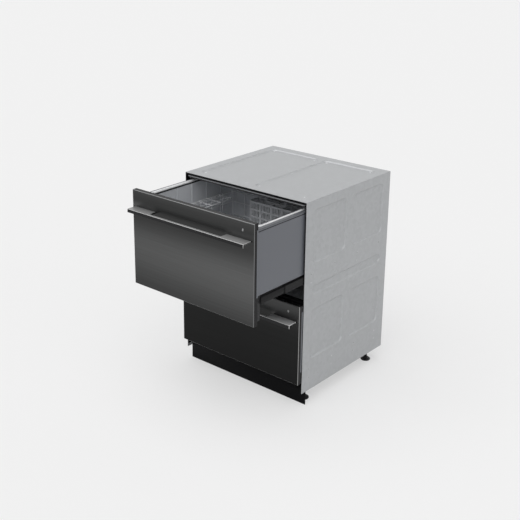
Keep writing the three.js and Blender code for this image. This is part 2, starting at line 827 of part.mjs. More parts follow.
function addDrawer(spec) {
  const rim = spec.top - rimDrop;
  const sideBottom = spec.bayFloor + spec.bayClearance + sumpDepth;
  const floor = sideBottom + tubFloorRise + tubWall;
  const group = new THREE.Group();
  group.position.y = -spec.opening;
  model.add(group);
  const drawer = { ...spec, rim, sideBottom, floor, group };
  const add = (name, shape, finish) => addPiece(group, `${drawer.name}_${name}`, shape, finish);

  const button = runAlongY(buttonOutline(drawer, 0), -buttonProud, buttonLength - buttonProud);
  add('front_panel', frontPanel(drawer), 'blackSteel');
  add('handle', handle(drawer), 'blackSteel');
  add('start_button', button, 'palePlastic');
  add('door_carrier', doorCarrier(drawer), 'darkPlastic');
  add('dispenser_door', dispenserDoor(drawer), 'greyPlastic');
  add('rinse_cap', rinseCap(drawer), 'greyPlastic');
  add('wash_tub', tub(drawer), 'palePlastic');
  add('tub_wrapper', wrapper(drawer), 'greyPaint');
  add('sump', sump(drawer), 'darkPlastic');
  add('drain_filter', drainFilter(drawer), 'greyPlastic');
  add('spray_arm', sprayArm(drawer), 'greyPlastic');
  add('dish_rack', dishRack(drawer), 'wire');
  add('folding_tines', foldingTines(drawer), 'wire');
  add('cup_shelf_left', cupShelf(drawer, -1), 'wire');
  add('cup_shelf_right', cupShelf(drawer, 1), 'wire');
  add('cutlery_basket', cutleryBasket(drawer), 'greyPlastic');
  addPiece(model, `${drawer.name}_lid`, lid(drawer), 'greyPlastic');
  addPiece(model, `${drawer.name}_lid_seal`, lidSeal(drawer), 'rubber');
  addRunners(drawer);
}

addBody();
addFeet();
addInletBlock();
addDrawer({
  name: 'upper',
  bottom: upperFrontBottom,
  top: upperFrontTop,
  bayFloor: railTop,
  bayClearance: upperBayClearance,
  opening: upperOpening,
});
addDrawer({
  name: 'lower',
  bottom: kickHeight,
  top: lowerFrontTop,
  bayFloor: basePanTop,
  bayClearance: lowerBayClearance,
  opening: 0,
});

export default model;
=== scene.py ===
import math

import bmesh
import bpy
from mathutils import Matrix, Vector
from mathutils.geometry import tessellate_polygon


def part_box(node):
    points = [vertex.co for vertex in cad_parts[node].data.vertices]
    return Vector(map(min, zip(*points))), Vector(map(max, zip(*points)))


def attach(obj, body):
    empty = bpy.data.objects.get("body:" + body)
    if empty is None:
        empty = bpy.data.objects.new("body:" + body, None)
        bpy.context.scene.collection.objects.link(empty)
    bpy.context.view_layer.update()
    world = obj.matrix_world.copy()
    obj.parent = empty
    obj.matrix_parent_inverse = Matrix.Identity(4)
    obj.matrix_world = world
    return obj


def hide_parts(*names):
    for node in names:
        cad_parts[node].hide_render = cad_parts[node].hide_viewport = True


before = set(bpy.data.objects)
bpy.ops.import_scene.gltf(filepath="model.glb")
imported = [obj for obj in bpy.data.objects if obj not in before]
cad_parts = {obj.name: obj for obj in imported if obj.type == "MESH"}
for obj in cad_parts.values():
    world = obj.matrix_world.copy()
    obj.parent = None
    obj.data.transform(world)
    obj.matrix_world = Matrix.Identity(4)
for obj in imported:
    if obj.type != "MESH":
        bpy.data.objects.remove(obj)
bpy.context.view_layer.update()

# A double-drawer dishwasher: the looks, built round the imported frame.
# Shapes are written in millimetres in the frame's own axes and go to metres as each mesh is made.
millimetre = 0.001
drawers = ("upper", "lower")
sides = {"left": -1, "right": 1}
endPlate = 109  # how long a handle's end plates are


def boxOf(node):
    low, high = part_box(node)
    return [v / millimetre for v in low], [v / millimetre for v in high]


def pick(spec, names):
    return [spec[name] for name in names.split()]


def putInScene(name, data):
    made = bpy.data.objects.new(name, data)
    bpy.context.scene.collection.objects.link(made)
    return made


# The camera of the main picture.
camera = {
    "place": (2.176, -2.6475, 1.850),  # metres
    "yaw": 41.86,
    "pitch": 17.80,
    "lens": 64.6,
    "shift": (0.07, -0.12),
}


def makeCamera():
    data = bpy.data.cameras.new("camera")
    data.lens = camera["lens"]
    data.shift_x, data.shift_y = camera["shift"]
    data.clip_end = 200
    held = putInScene("camera", data)
    held.location = camera["place"]
    held.rotation_euler = (math.radians(90 - camera["pitch"]), 0, math.radians(camera["yaw"]))
    bpy.context.scene.camera = held


makeCamera()
print("camera placed")


# Shader expressions.
class Value:
    def __init__(self, nodes, socket):
        self.nodes = nodes
        self.socket = socket

    def __add__(self, other):
        return self.nodes.math("ADD", self, other)

    __radd__ = __add__

    def __sub__(self, other):
        return self.nodes.math("SUBTRACT", self, other)

    def __rsub__(self, other):
        return self.nodes.math("SUBTRACT", other, self)

    def __mul__(self, other):
        return self.nodes.math("MULTIPLY", self, other)

    __rmul__ = __mul__

    def __abs__(self):
        return self.nodes.math("ABSOLUTE", self)


class Nodes:
    def __init__(self, tree):
        self.tree = tree

    def node(self, kind, settings, sockets, out=0):
        made = self.tree.nodes.new(kind)
        for name, value in settings.items():
            if name == "stops":
                ramp = made.color_ramp
                while len(ramp.elements) < len(value):
                    ramp.elements.new(1.0)
                for stop, (place, grey) in zip(ramp.elements, value):
                    stop.position, stop.color = place, (grey, grey, grey, 1)
            elif name == "interpolation":
                made.color_ramp.interpolation = value
            else:
                setattr(made, name, value)
        for name, value in sockets.items():
            if isinstance(value, Value):
                self.tree.links.new(value.socket, made.inputs[name])
            else:
                made.inputs[name].default_value = value
        return Value(self, made.outputs[out])

    def math(self, operation, *terms):
        return self.node("ShaderNodeMath", {"operation": operation}, dict(enumerate(terms)))

    def shownDirectly(self):
        # 1 where the camera, a reflection or a clear piece looks, and 0 for light that falls on things
        kinds = ("Is Camera Ray", "Is Glossy Ray", "Is Transmission Ray")
        first, second, third = [self.node("ShaderNodeLightPath", {}, {}, out=kind) for kind in kinds]
        return self.math("MAXIMUM", self.math("MAXIMUM", first, second), third)


class Paint(Nodes):
    def __init__(self, name, constants):
        self.material = bpy.data.materials.new(name)
        self.material.use_nodes = True
        super().__init__(self.material.node_tree)
        self.shader = self.tree.nodes["Principled BSDF"]
        for socket, value in constants.items():
            self.shader.inputs[socket].default_value = value

    def clamp(self, value):
        return self.node("ShaderNodeClamp", {}, {"Value": value})

    def step(self, value, low, high):
        limits = {"Value": value, "From Min": low, "From Max": high}
        return self.node("ShaderNodeMapRange", {"interpolation_type": "SMOOTHSTEP"}, limits)

    def mix(self, factor, first, second):
        colours = {0: factor, 6: first, 7: second}
        return self.node("ShaderNodeMix", {"data_type": "RGBA"}, colours, out=2)

    def place(self, scale=(1, 1, 1)):
        held = self.node("ShaderNodeTexCoord", {}, {}, out="Object")
        return self.node("ShaderNodeVectorMath", {"operation": "MULTIPLY"}, {0: held, 1: scale})

    def noise(self, scale, stretch=(1, 1, 1), detail=2.0):
        sockets = {"Vector": self.place(stretch), "Scale": scale, "Detail": detail}
        return self.node("ShaderNodeTexNoise", {}, sockets)

    def axis(self, name):
        # a coordinate in millimetres
        parts = self.node("ShaderNodeSeparateXYZ", {}, {"Vector": self.place()}, out=name)
        return parts * (1 / millimetre)

    def normal(self, name):
        facing = self.node("ShaderNodeNewGeometry", {}, {}, out="True Normal")
        return self.node("ShaderNodeSeparateXYZ", {}, {"Vector": facing}, out=name)

    def bump(self, height, distance, strength=1.0):
        sockets = {"Height": height, "Distance": distance, "Strength": strength}
        return self.node("ShaderNodeBump", {}, sockets)

    def feed(self, **inputs):
        for name, value in inputs.items():
            target = self.shader.inputs[name.replace("_", " ")]
            self.tree.links.new(value.socket, target)
        return self.material


def solidColour(values):
    return (*values, 1.0)


def scaled(values, factor):
    return solidColour([v * factor for v in values])


# Finishes.
# The fronts' painted shading runs from the bottom of a front (0) to its top (1): on the upper front a
# painted reflection gradient, lifted near the handle against the shade there, and on the lower front painted
# shade from the upper drawer above it.
frontSteel = {
    "colour": (0.120, 0.121, 0.121),
    "rough": 0.33,
    # painted reflection: the fronts are painted lighter towards the right end
    "acrossPaintedReflection": (0.90, 1.12),  # from the left end to the right
    "upperTones": [(0.0, 0.42), (0.1, 0.53), (0.25, 0.77), (0.42, 0.95), (0.55, 0.82),
                   (0.68, 0.42), (0.76, 0.36), (0.86, 0.46), (0.93, 0.36), (1.0, 0.55)],
    "lowerTones": [(0.0, 0.12), (0.3, 0.135), (0.6, 0.15), (0.76, 0.20), (0.86, 0.40), (1.0, 0.50)],
    # painted reflection of the handle's end plates on each front, and how high above them it fades
    "paintedReflection": {"upper": 0.85, "lower": 1.2}, "paintedReflectionFade": 28,
}
# the handle's colours carry painted light: back is painted contact shadow near the front panel, top the
# painted light on upward faces, edge the painted highlights, and lift paints the lower handle lighter
# against the upper drawer's shade
handleSteel = {
    "back": (0.185, 0.186, 0.187), "top": (0.300, 0.301, 0.302), "edge": (0.52, 0.52, 0.52),
    "face": (0.030, 0.030, 0.031), "rough": 0.36, "lift": {"upper": 1.0, "lower": 1.8},
}


def paintedPlateReflection(paint, spec, drawer):
    # a painted reflection: the steel just above the handle's two end plates is painted lighter, as though it
    # took a little of their light
    high = boxOf(f"{drawer}_handle")[1]
    fade, inner = spec["paintedReflectionFade"], high[0] - endPlate
    above = paint.axis("Z") - high[2]
    band = paint.step(above, 0, 1.5) * (1 - paint.step(above, fade * 0.2, fade))
    ends = paint.step(abs(paint.axis("X")), inner - 18, inner + 22)
    return 1 + spec["paintedReflection"][drawer] * band * ends


def brushed(name, spec, drawer=None):
    paint = Paint(name, {"Metallic": 1.0})
    fine = paint.noise(1.0, (7, 500, 1500), 3.0)
    broad = paint.noise(1.0, (2.5, 60, 190), 2.0)
    cloud = paint.noise(5.0)
    tone = 0.80 + 0.16 * fine + 0.24 * broad
    # on a front the colour carries painted shading: the painted reflection gradient up and across it, the
    # lower front's painted shade, and the painted reflection above the handle's end plates
    if drawer:
        low, high = boxOf(f"{drawer}_front_panel")
        height = (paint.axis("Z") - low[2]) * (1 / (high[2] - low[2]))
        settings = {"interpolation": "B_SPLINE", "stops": spec[f"{drawer}Tones"]}
        tone = tone * paint.node("ShaderNodeValToRGB", settings, {"Fac": height})
        left, right = spec["acrossPaintedReflection"]
        across = paint.axis("X") * ((right - left) / (high[0] - low[0])) + (left + right) / 2
        tone = tone * across * paintedPlateReflection(paint, spec, drawer)
    colour = paint.mix(tone, solidColour((0, 0, 0)), solidColour(spec["colour"]))
    rough = spec["rough"] - 0.06 + 0.05 * fine + 0.07 * cloud
    return paint.feed(Base_Color=colour, Roughness=rough, Normal=paint.bump(fine, 0.00002, 0.6))


def handleSteelWithPaintedLight(name, spec, drawer):
    # the handle, with painted light: tops painted lighter where light falls on them and darker towards the
    # front panel as painted contact shadow, front edges painted as bright highlights, and a face as dark as
    # the front
    paint = Paint(name, {})
    up = paint.normal("Z")
    low, high = boxOf(f"{drawer}_handle")
    lift = spec["lift"][drawer]
    behind = (paint.axis("Y") - low[1]) * (1 / (high[1] - low[1]))
    fine = paint.noise(1.0, (6, 420, 900), 3.0)
    grain = paint.noise(1.0, (1.5, 260, 260), 2.0)
    # painted light: upward faces lighter; edges and end bevels painted as highlights
    top = paint.step(up, 0.90, 0.995)
    across = abs(paint.normal("X"))
    corner = paint.step(across, 0.2, 0.4) * (1 - paint.step(across, 0.86, 0.96))
    edge = paint.clamp(paint.step(up, 0.12, 0.45) + corner)
    colour = paint.mix(edge, solidColour(spec["face"]), scaled(spec["edge"], lift))
    # painted contact shadow: the tops darken towards the front panel
    level = paint.mix(paint.step(behind, 0.15, 0.95), scaled(spec["top"], lift), scaled(spec["back"], lift))
    colour = paint.mix(top, colour, level)
    shade = 0.72 + 0.28 * fine + 0.28 * grain
    colour = paint.mix(shade, solidColour((0, 0, 0)), colour)
    rough = spec["rough"] - 0.05 + 0.10 * fine
    bump = paint.bump(grain, 0.00004, 0.5)
    return paint.feed(Base_Color=colour, Roughness=rough, Metallic=1.0 - 0.8 * edge, Normal=bump)


def moulded(name, spec):
    # satin plastic: a fine spark texture, slow tone changes, and duller patches where it is handled
    paint = Paint(name, {"IOR": 1.47, "Specular IOR Level": spec.get("gloss", 0.5)})
    texture = paint.noise(spec.get("texture", 900), detail=1.0)
    cloud = paint.noise(9)
    tone = 0.5 * texture + 0.5 * cloud
    colour = paint.mix(tone, scaled(spec["colour"], 0.88), scaled(spec["colour"], 1.12))
    rough = spec["rough"] - 0.05 + 0.10 * cloud
    height = paint.bump(texture, spec.get("depth", 0.00004), 0.5)
    return paint.feed(Base_Color=colour, Roughness=rough, Normal=height)


def painted(name, spec):
    # sprayed paint: orange peel under a thin clear layer
    paint = Paint(name, {"Coat Weight": spec["coat"], "Coat Roughness": 0.25,
                         "Specular IOR Level": spec.get("gloss", 0.5)})
    peel = paint.noise(260, detail=1.0)
    cloud = paint.noise(4)
    tone = 0.3 * peel + 0.7 * cloud
    colour = paint.mix(tone, scaled(spec["colour"], 0.92), scaled(spec["colour"], 1.08))
    rough = spec["rough"] - 0.04 + 0.08 * cloud
    return paint.feed(Base_Color=colour, Roughness=rough, Normal=paint.bump(peel, 0.00006, 0.4))


def zincCoated(name, spec):
    # hot-dip zinc: crystals of slightly different tone, with a rolled grain through them
    paint = Paint(name, {"Metallic": 0.5})
    warp = paint.noise(35)
    place = paint.node("ShaderNodeVectorMath", {"operation": "MULTIPLY_ADD"},
                       {0: paint.place(), 1: (1, 1, 1), 2: warp * 0.004})
    cells = paint.node("ShaderNodeTexVoronoi", {"feature": "F1"},
                       {"Vector": place, "Scale": spec["spangle"]}, out="Color")
    crystal = paint.node("ShaderNodeSeparateColor", {}, {"Color": cells}, out=0)
    roll = paint.noise(1.0, (260, 260, 7), 2.0)
    tone = 0.70 * crystal + 0.30 * roll
    colour = paint.mix(tone, scaled(spec["colour"], 0.91), scaled(spec["colour"], 1.07))
    rough = spec["rough"] - 0.07 + 0.14 * crystal
    return paint.feed(Base_Color=colour, Roughness=rough, Normal=paint.bump(roll, 0.00003, 0.4))


finishes = {
    moulded: {
        "tub": {"colour": (0.56, 0.575, 0.60), "rough": 0.34, "texture": 1400, "depth": 0.00002},
        "rimLip": {"colour": (0.72, 0.73, 0.74), "rough": 0.26, "texture": 1400, "depth": 0.00001},
        "wire": {"colour": (0.74, 0.75, 0.765), "rough": 0.30, "texture": 500, "depth": 0.00003},
        "greyPart": {"colour": (0.24, 0.25, 0.265), "rough": 0.42},
        "palePart": {"colour": (0.62, 0.63, 0.645), "rough": 0.42},
        "lid": {"colour": (0.22, 0.225, 0.235), "rough": 0.44},
        "button": {"colour": (0.34, 0.345, 0.35), "rough": 0.30},
        "blackPart": {"colour": (0.014, 0.014, 0.0155), "rough": 0.50, "gloss": 0.3},
        # rubber for the lid seals; the same dark rubber also serves as painted shade for the beads under the
        # tub's rim and in the wrapper's groove
        "rubber": {"colour": (0.014, 0.014, 0.015), "rough": 0.72, "texture": 1200, "depth": 0.00006},
    },
    painted: {
        # the rim's upward band: the wrapper's grey painted darker, as painted shade against the light it
        # takes from above
        "rimBand": {"colour": (0.088, 0.092, 0.102), "rough": 0.42, "coat": 0.1},
        "wrapper": {"colour": (0.127, 0.135, 0.154), "rough": 0.40, "coat": 0.1},
        "blackPaint": {"colour": (0.0025, 0.0025, 0.003), "rough": 0.60, "coat": 0.0, "gloss": 0.08},
        "blackRunner": {"colour": (0.006, 0.006, 0.0065), "rough": 0.50, "coat": 0.0, "gloss": 0.2},
    },
    zincCoated: {
        "zinc": {"colour": (0.44, 0.45, 0.46), "rough": 0.42, "spangle": 75},
        "runner": {"colour": (0.58, 0.59, 0.60), "rough": 0.30, "spangle": 260},
    },
    brushed: {
        # the chamfers' painted highlight; the lower one is painted lighter still against the shade of the
        # upper drawer
        "upperTrim": {"colour": (0.205, 0.207, 0.209), "rough": 0.34},
        "lowerTrim": {"colour": (0.36, 0.36, 0.36), "rough": 0.36},
        "side": {"colour": (0.030, 0.030, 0.031), "rough": 0.50},
    },
}
paints = {
    name: finish(name, spec) for finish, kinds in finishes.items() for name, spec in kinds.items()
}
for drawer in drawers:
    paints[f"{drawer}Front"] = brushed(f"{drawer}Front", frontSteel, drawer)
    paints[f"{drawer}Handle"] = handleSteelWithPaintedLight(f"{drawer}Handle", handleSteel, drawer)
print(len(paints), "finishes made")


# Shapes: outlines and paths first, then the solids made from them.
def lift(point, level, axis):
    u, v = point
    return {"X": (level, u, v), "Y": (u, level, v), "Z": (u, v, level)}[axis]


def arc(x, y, radius, start, end, steps):
    angles = [math.radians(start + (end - start) * k / steps) for k in range(steps + 1)]
    return [(x + radius * math.cos(a), y + radius * math.sin(a)) for a in angles]


def rounded(x0, x1, y0, y1, radius, steps=4):
    def outline(inset=0.0):
        r = max(radius - inset, 0.02)
        left, right, front, back = x0 + inset + r, x1 - inset - r, y0 + inset + r, y1 - inset - r
        places = [(right, front, -90), (right, back, 0), (left, back, 90), (left, front, 180)]
        return [p for x, y, turn in places for p in arc(x, y, r, turn, turn + 90, steps)]
    return outline


def circle(x, y, radius, steps):
    def outline(inset=0.0):
        return arc(x, y, radius - inset, 0, 360 - 360 / steps, steps - 1)
    return outline


def polygon(corners):
    # an outline with straight sides, anticlockwise, that can be drawn in by an inset
    def outline(inset=0.0):
        drawn = []
        for i, (x, y) in enumerate(corners):
            before, after = Vector(corners[i - 1]), Vector(corners[(i + 1) % len(corners)])
            here = Vector((x, y))
            a, b = (here - before).normalized(), (after - here).normalized()
            left = Vector((-a.y, a.x)) + Vector((-b.y, b.x))
            drawn.append(tuple(here + left * (inset / max(left.length_squared / 2, 0.2))))
        return drawn
    return outline


def stacked(outline, profile, axis):
    # rings of an outline: one for each inset and level
    return [[lift(p, level, axis) for p in outline(inset)] for inset, level in profile]


def around(count, first=0.0):
    # directions evenly round a circle
    turns = [math.tau * (k + first) / count for k in range(count)]
    return [(math.cos(turn), math.sin(turn)) for turn in turns]


def spread(first, last, count):
    return [first + (last - first) * k / (count - 1) for k in range(count)]


def edgeProfile(low, high, radius, steps):
    # (inset, level) up the edge of a plate, rounded below and above
    under = arc(radius, low + radius, radius, 270, 180, steps)
    return under + [(inset, high + low - level) for inset, level in reversed(under)]


def cornerCurve(before, here, after, radius, steps):
    start = here + (before - here).normalized() * radius
    end = here + (after - here).normalized() * radius
    shares = [k / steps for k in range(steps + 1)]
    return [start.lerp(here, t).lerp(here.lerp(end, t), t) for t in shares]


def bend(points, radius):
    # rounds the corners of a path
    corners = [Vector(p) for p in points]
    path = [corners[0]]
    for before, here, after in zip(corners, corners[1:], corners[2:]):
        reach = min(radius, (here - before).length * 0.48, (after - here).length * 0.48)
        path += cornerCurve(before, here, after, reach, 4)
    return path + [corners[-1]]


def softened(corners, radii, steps):
    # a closed outline with each corner rounded
    places = [Vector(corner) for corner in corners]
    drawn = []
    for i, radius in enumerate(radii):
        drawn += cornerCurve(places[i - 1], places[i], places[(i + 1) % len(places)], radius, steps)
    return drawn


class Form:
    def __init__(self, origin=(0, 0, 0)):
        self.origin = origin
        self.points = []
        self.faces = []
        self.skins = []

    def face(self, corners, skin):
        self.faces.append(tuple(corners))
        self.skins.append(skin)

    def rings(self, rings, skins=0, shut=True):
        # successive rings of points joined by four-sided faces; skins may give one for each row
        start, size = len(self.points), len(rings[0])
        for ring in rings:
            self.points.extend(ring)
        rows = [skins] * (len(rings) - 1) if isinstance(skins, int) else skins
        for row, skin in enumerate(rows):
            for i in range(size if shut else size - 1):
                a = start + row * size + i
                b = start + row * size + (i + 1) % size
                self.face((a, b, b + size, a + size), skin)
        first = list(range(start, start + size))
        return first, [i + size * (len(rings) - 1) for i in first]

    def loft(self, rings, skin=0):
        # a solid through rings, closed at both ends
        for end in self.rings(rings, skin):
            self.fill([end], skin)

    def fill(self, loops, skin=0):
        flat = [i for loop in loops for i in loop]
        outlines = [[Vector(self.points[i]) for i in loop] for loop in loops]
        for triangle in tessellate_polygon(outlines):
            self.face([flat[i] for i in triangle], skin)

    def plate(self, outline, low, high, axis="Z", edge=0.6, holes=(), steps=2, skin=0):
        # a flat piece with rounded edges; each hole is an outline too
        profile = edgeProfile(low, high, edge, steps)
        under, over = [], []
        for shape, sign in [(outline, 1)] + [(hole, -1) for hole in holes]:
            first, last = self.rings(stacked(shape, [(sign * inset, z) for inset, z in profile], axis), skin)
            under.append(first)
            over.append(last)
        self.fill(under, skin)
        self.fill(over, skin)

    def band(self, outline, low, high, width, axis="Z", edge=0.5, skin=0):
        # a closed band of the given width inside an outline
        soft = edgeProfile(low, high, edge, 1)
        profile = soft + [(width - inset, level) for inset, level in reversed(soft)]
        self.rings(stacked(outline, profile + profile[:1], axis), skin)

    def bar(self, x0, x1, y0, y1, z0, z1, edge=0.6, skin=0):
        self.plate(rounded(x0, x1, y0, y1, edge, 2), z0, z1, "Z", edge, skin=skin)

    def sideBars(self, near, far, y0, y1, z0, z1, edge, skin=0):
        # a bar on each side, from near to far out from the middle
        for sign in sides.values():
            x0, x1 = sorted((sign * near, sign * far))
            self.bar(x0, x1, y0, y1, z0, z1, edge, skin)

    def tube(self, path, radius, facets=8, shut=False):
        # a bent wire with domed ends
        centres = [Vector(p) for p in path]
        count = len(centres)
        stops = []
        for i, here in enumerate(centres):
            before = centres[i - 1] if i or shut else here
            after = centres[(i + 1) % count] if i < count - 1 or shut else here
            stops.append((here, (after - before).normalized(), radius))
        if not shut:
            turns = [math.radians(degrees) for degrees in (0, 30, 60, 84)]
            dome = [(radius * (math.sin(turn) - 1), radius * math.cos(turn)) for turn in turns]
            (start, ahead, _), (end, along, _) = stops[0], stops[-1]
            near = [(start - ahead * out, ahead, size) for out, size in reversed(dome)]
            stops = near + stops[1:-1] + [(end + along * out, along, size) for out, size in dome]
        up = Vector((0, 0, 1)) if abs(stops[0][1].z) < 0.9 else Vector((1, 0, 0))
        rings = []
        for centre, tangent, size in stops:
            up = (up - tangent * up.dot(tangent)).normalized()
            across = tangent.cross(up)
            rings.append([tuple(centre + (up * u + across * v) * size) for u, v in around(facets)])
        if shut:
            self.rings(rings + rings[:1])
        else:
            for end in self.rings(rings):
                self.face(end, 0)

    def turned(self, profile, centre, axis="Z", steps=24, skin=0):
        # a profile of (radius, level) turned about an axis through centre
        x, y, z = centre
        u, v, base = {"X": (y, z, x), "Y": (x, z, y), "Z": (x, y, z)}[axis]
        levels = [(-radius, base + level) for radius, level in profile]
        for end in self.rings(stacked(circle(u, v, 0, steps), levels, axis), skin):
            self.face(end, skin)

    def sheet(self, acrossLines, upLines, depth, face, thickness, axis, outward):
        # a pressed sheet: depth(u, v) is how far it is pressed in from its face
        starts = []
        for sunk in (0, thickness):
            rows = [
                [lift((u, v), face - outward * (depth(u, v) + sunk), axis) for u in acrossLines]
                for v in upLines
            ]
            starts.append(self.rings(rows, 0, shut=False)[0][0])
        width, height = len(acrossLines), len(upLines)
        border = (
            list(range(width))
            + [width * (j + 1) - 1 for j in range(1, height)]
            + [width * (height - 1) + i for i in range(width - 2, -1, -1)]
            + [width * j for j in range(height - 2, 0, -1)]
        )
        for k, i in enumerate(border):
            j = border[(k + 1) % len(border)]
            self.face((starts[0] + i, starts[0] + j, starts[1] + j, starts[1] + i), 0)


def piece(name, form, materials, body, replaced, sharp=38):
    # one mesh object from a form, riding on a body
    mesh = bpy.data.meshes.new(name)
    points = [[(c + o) * millimetre for c, o in zip(p, form.origin)] for p in form.points]
    mesh.from_pydata(points, [], form.faces)
    for polygonFace, skin in zip(mesh.polygons, form.skins):
        polygonFace.material_index = skin
    work = bmesh.new()
    work.from_mesh(mesh)
    bmesh.ops.remove_doubles(work, verts=work.verts, dist=1e-6)
    bmesh.ops.dissolve_degenerate(work, edges=work.edges, dist=1e-7)
    bmesh.ops.recalc_face_normals(work, faces=work.faces)
    work.to_mesh(mesh)
    work.free()
    for material in materials:
        mesh.materials.append(paints[material])
    mesh.shade_smooth()
    mesh.set_sharp_from_angle(angle=math.radians(sharp))
    made = putInScene(name, mesh)
    weigh = made.modifiers.new("faceNormals", "WEIGHTED_NORMAL")
    weigh.keep_sharp = True
    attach(made, body)
    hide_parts(replaced)


def fit(drawer, name, form, materials, node, moving=False):
    # a drawer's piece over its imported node; a moving one rides on its own body
    node = f"{drawer}_{node}"
    piece(f"{drawer}{name}", form, materials, node if moving else f"{drawer}_drawer", node)


def dress(node, material, edge=0.5):
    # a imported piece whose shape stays: softened edges and its finish
    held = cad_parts[node]
    held.data.materials.clear()
    held.data.materials.append(paints[material])
    weld = held.modifiers.new("weld", "WELD")
    weld.merge_threshold = 0.00002
    soften = held.modifiers.new("edges", "BEVEL")
    soften.width = edge * millimetre
    soften.segments = 2
    soften.limit_method = "ANGLE"
    soften.angle_limit = math.radians(35)
    soften.use_clamp_overlap = True
    soften.harden_normals = True
    held.data.shade_smooth()


firstTub = boxOf("upper_wash_tub")[0]
origins = {
    drawer: [a - b for a, b in zip(boxOf(f"{drawer}_wash_tub")[0], firstTub)] for drawer in drawers
}


# Front panel: a folded steel pan, its chamfer painted brighter as a painted highlight.
frontPan = {
    "chamfer": 1.7, "skin": 1.2, "corner": 1.6, "soft": 0.3, "buttonGap": 0.35, "holeCorner": 3.3,
    "depth": 13.5, "liner": (-0.6, 0.35),  # the liner's faces, out from the front's side
}


def makeFront(drawer):
    low, high = boxOf(f"{drawer}_front_panel")
    buttonLow, buttonHigh = boxOf(f"{drawer}_start_button")
    chamfer, skin, corner, soft, gap, holeCorner, depth, liner = frontPan.values()
    face, back = low[1], high[1]
    edge = rounded(low[0], high[0], low[2], high[2], corner, 3)
    profile = [
        (chamfer + soft, face), (chamfer - 0.1, face + 0.08), (0.1, face + chamfer - 0.1),
        (0, face + chamfer + soft), (0, back - soft), (soft, back), (skin - soft, back),
        (skin, back - soft), (skin, face + skin),
    ]
    form = Form()
    # skin 1 is the chamfer, which takes the painted highlight
    outer, inner = form.rings(stacked(edge, profile, "Y"), [0, 1, 2, 2, 2, 2, 2, 2])
    hole = rounded(buttonLow[0] - gap, buttonHigh[0] + gap, buttonLow[2] - gap, buttonHigh[2] + gap,
                   holeCorner, 5)
    lips = [(-0.25, face), (0, face + 0.25), (0, face + skin)]
    near, far = form.rings(stacked(hole, lips, "Y"), 1)
    form.fill([outer, near], 0)
    form.fill([inner, far], 2)
    # a grey liner closes the pan's sides behind the steel, as tall as the tub
    bottom, top = boxOf(f"{drawer}_tub_wrapper")[0][2], boxOf(f"{drawer}_wash_tub")[1][2]
    form.sideBars(high[0] + liner[0], high[0] + liner[1], face + depth, back, bottom, top, 0.3, 3)
    materials = [f"{drawer}Front", f"{drawer}Trim", "side", "wrapper"]
    fit(drawer, "FrontPan", form, materials, "front_panel")


# Handle: a folded bar, and at each end a plate that reaches back to the front.
barHandle = {
    "plate": 5, "lip": 4, "bar": 10, "fillet": 7, "bevel": 1.3,
    "soft": (0.6, 0.6, 1.6, 0.6, 0.6, 2.4),  # the section's corners
}


def makeHandle(drawer):
    low, high = boxOf(f"{drawer}_handle")
    plate, lip, bar, fillet, bevel, soft = barHandle.values()
    front, top, back = low[1], high[2], high[1]
    barBack, inner = front + bar, high[0] - endPlate

    def section(x, reach, inset):
        corners = [(front, low[2]), (front + lip, low[2]), (front + lip, top - plate),
                   (reach, top - plate), (reach, top), (front, top)]
        return [lift(p, x, "X") for p in polygon(softened(corners, soft, 4))(inset)]

    stations = [(high[0], back, bevel), (high[0] - bevel, back, 0)]
    stations += [(inner + 0.8, back, 0), (inner + 0.2, back - 0.2, 0), (inner, back - 0.8, 0)]
    curve = arc(inner - fillet, barBack + fillet, fillet, 0, -90, 6)
    stations += [(x, reach, 0) for x, reach in curve]
    stations += [(-x, reach, inset) for x, reach, inset in reversed(stations)]
    form = Form()
    form.loft([section(*station) for station in stations])
    fit(drawer, "HandleBar", form, [f"{drawer}Handle"], "handle")


# Start button: a dished oval.
buttonForm = {"corner": 2.95, "dish": 0.55}


def makeButton(drawer):
    corner, dish = buttonForm.values()
    low, high = boxOf(f"{drawer}_start_button")
    front, back = low[1], high[1]
    oval = rounded(low[0], high[0], low[2], high[2], corner, 6)
    profile = [(0.5, back), (0, back - 0.5), (0, front + 0.8), (0.15, front + 0.3), (0.5, front + 0.03),
               (0.8, front), (1.3, front + 0.2), (2.0, front + dish - 0.1), (2.6, front + dish)]
    form = Form()
    form.loft(stacked(oval, profile, "Y"))
    fit(drawer, "StartButton", form, ["button"], "start_button", moving=True)


# Wash tub.
tubForm = {
    "wall": (-270, 270, -352.2, 138.5), "wallCorner": 34,
    "rim": (-291, 291, -376.2, 159.5), "rimCorner": 7,
    "floor": 556, "under": 553, "top": 790, "rimDepth": 6, "cove": 14, "thick": 3,
    "drain": (105, -231.5), "drainRadius": 62, "arm": (0, -106.9),
    "ribs": 5, "ribPitch": 84, "ribFace": 264.5, "ribTop": 777,
    "window": (-75, 75, 712, 768), "bezel": (-350.5, -347.9),
}


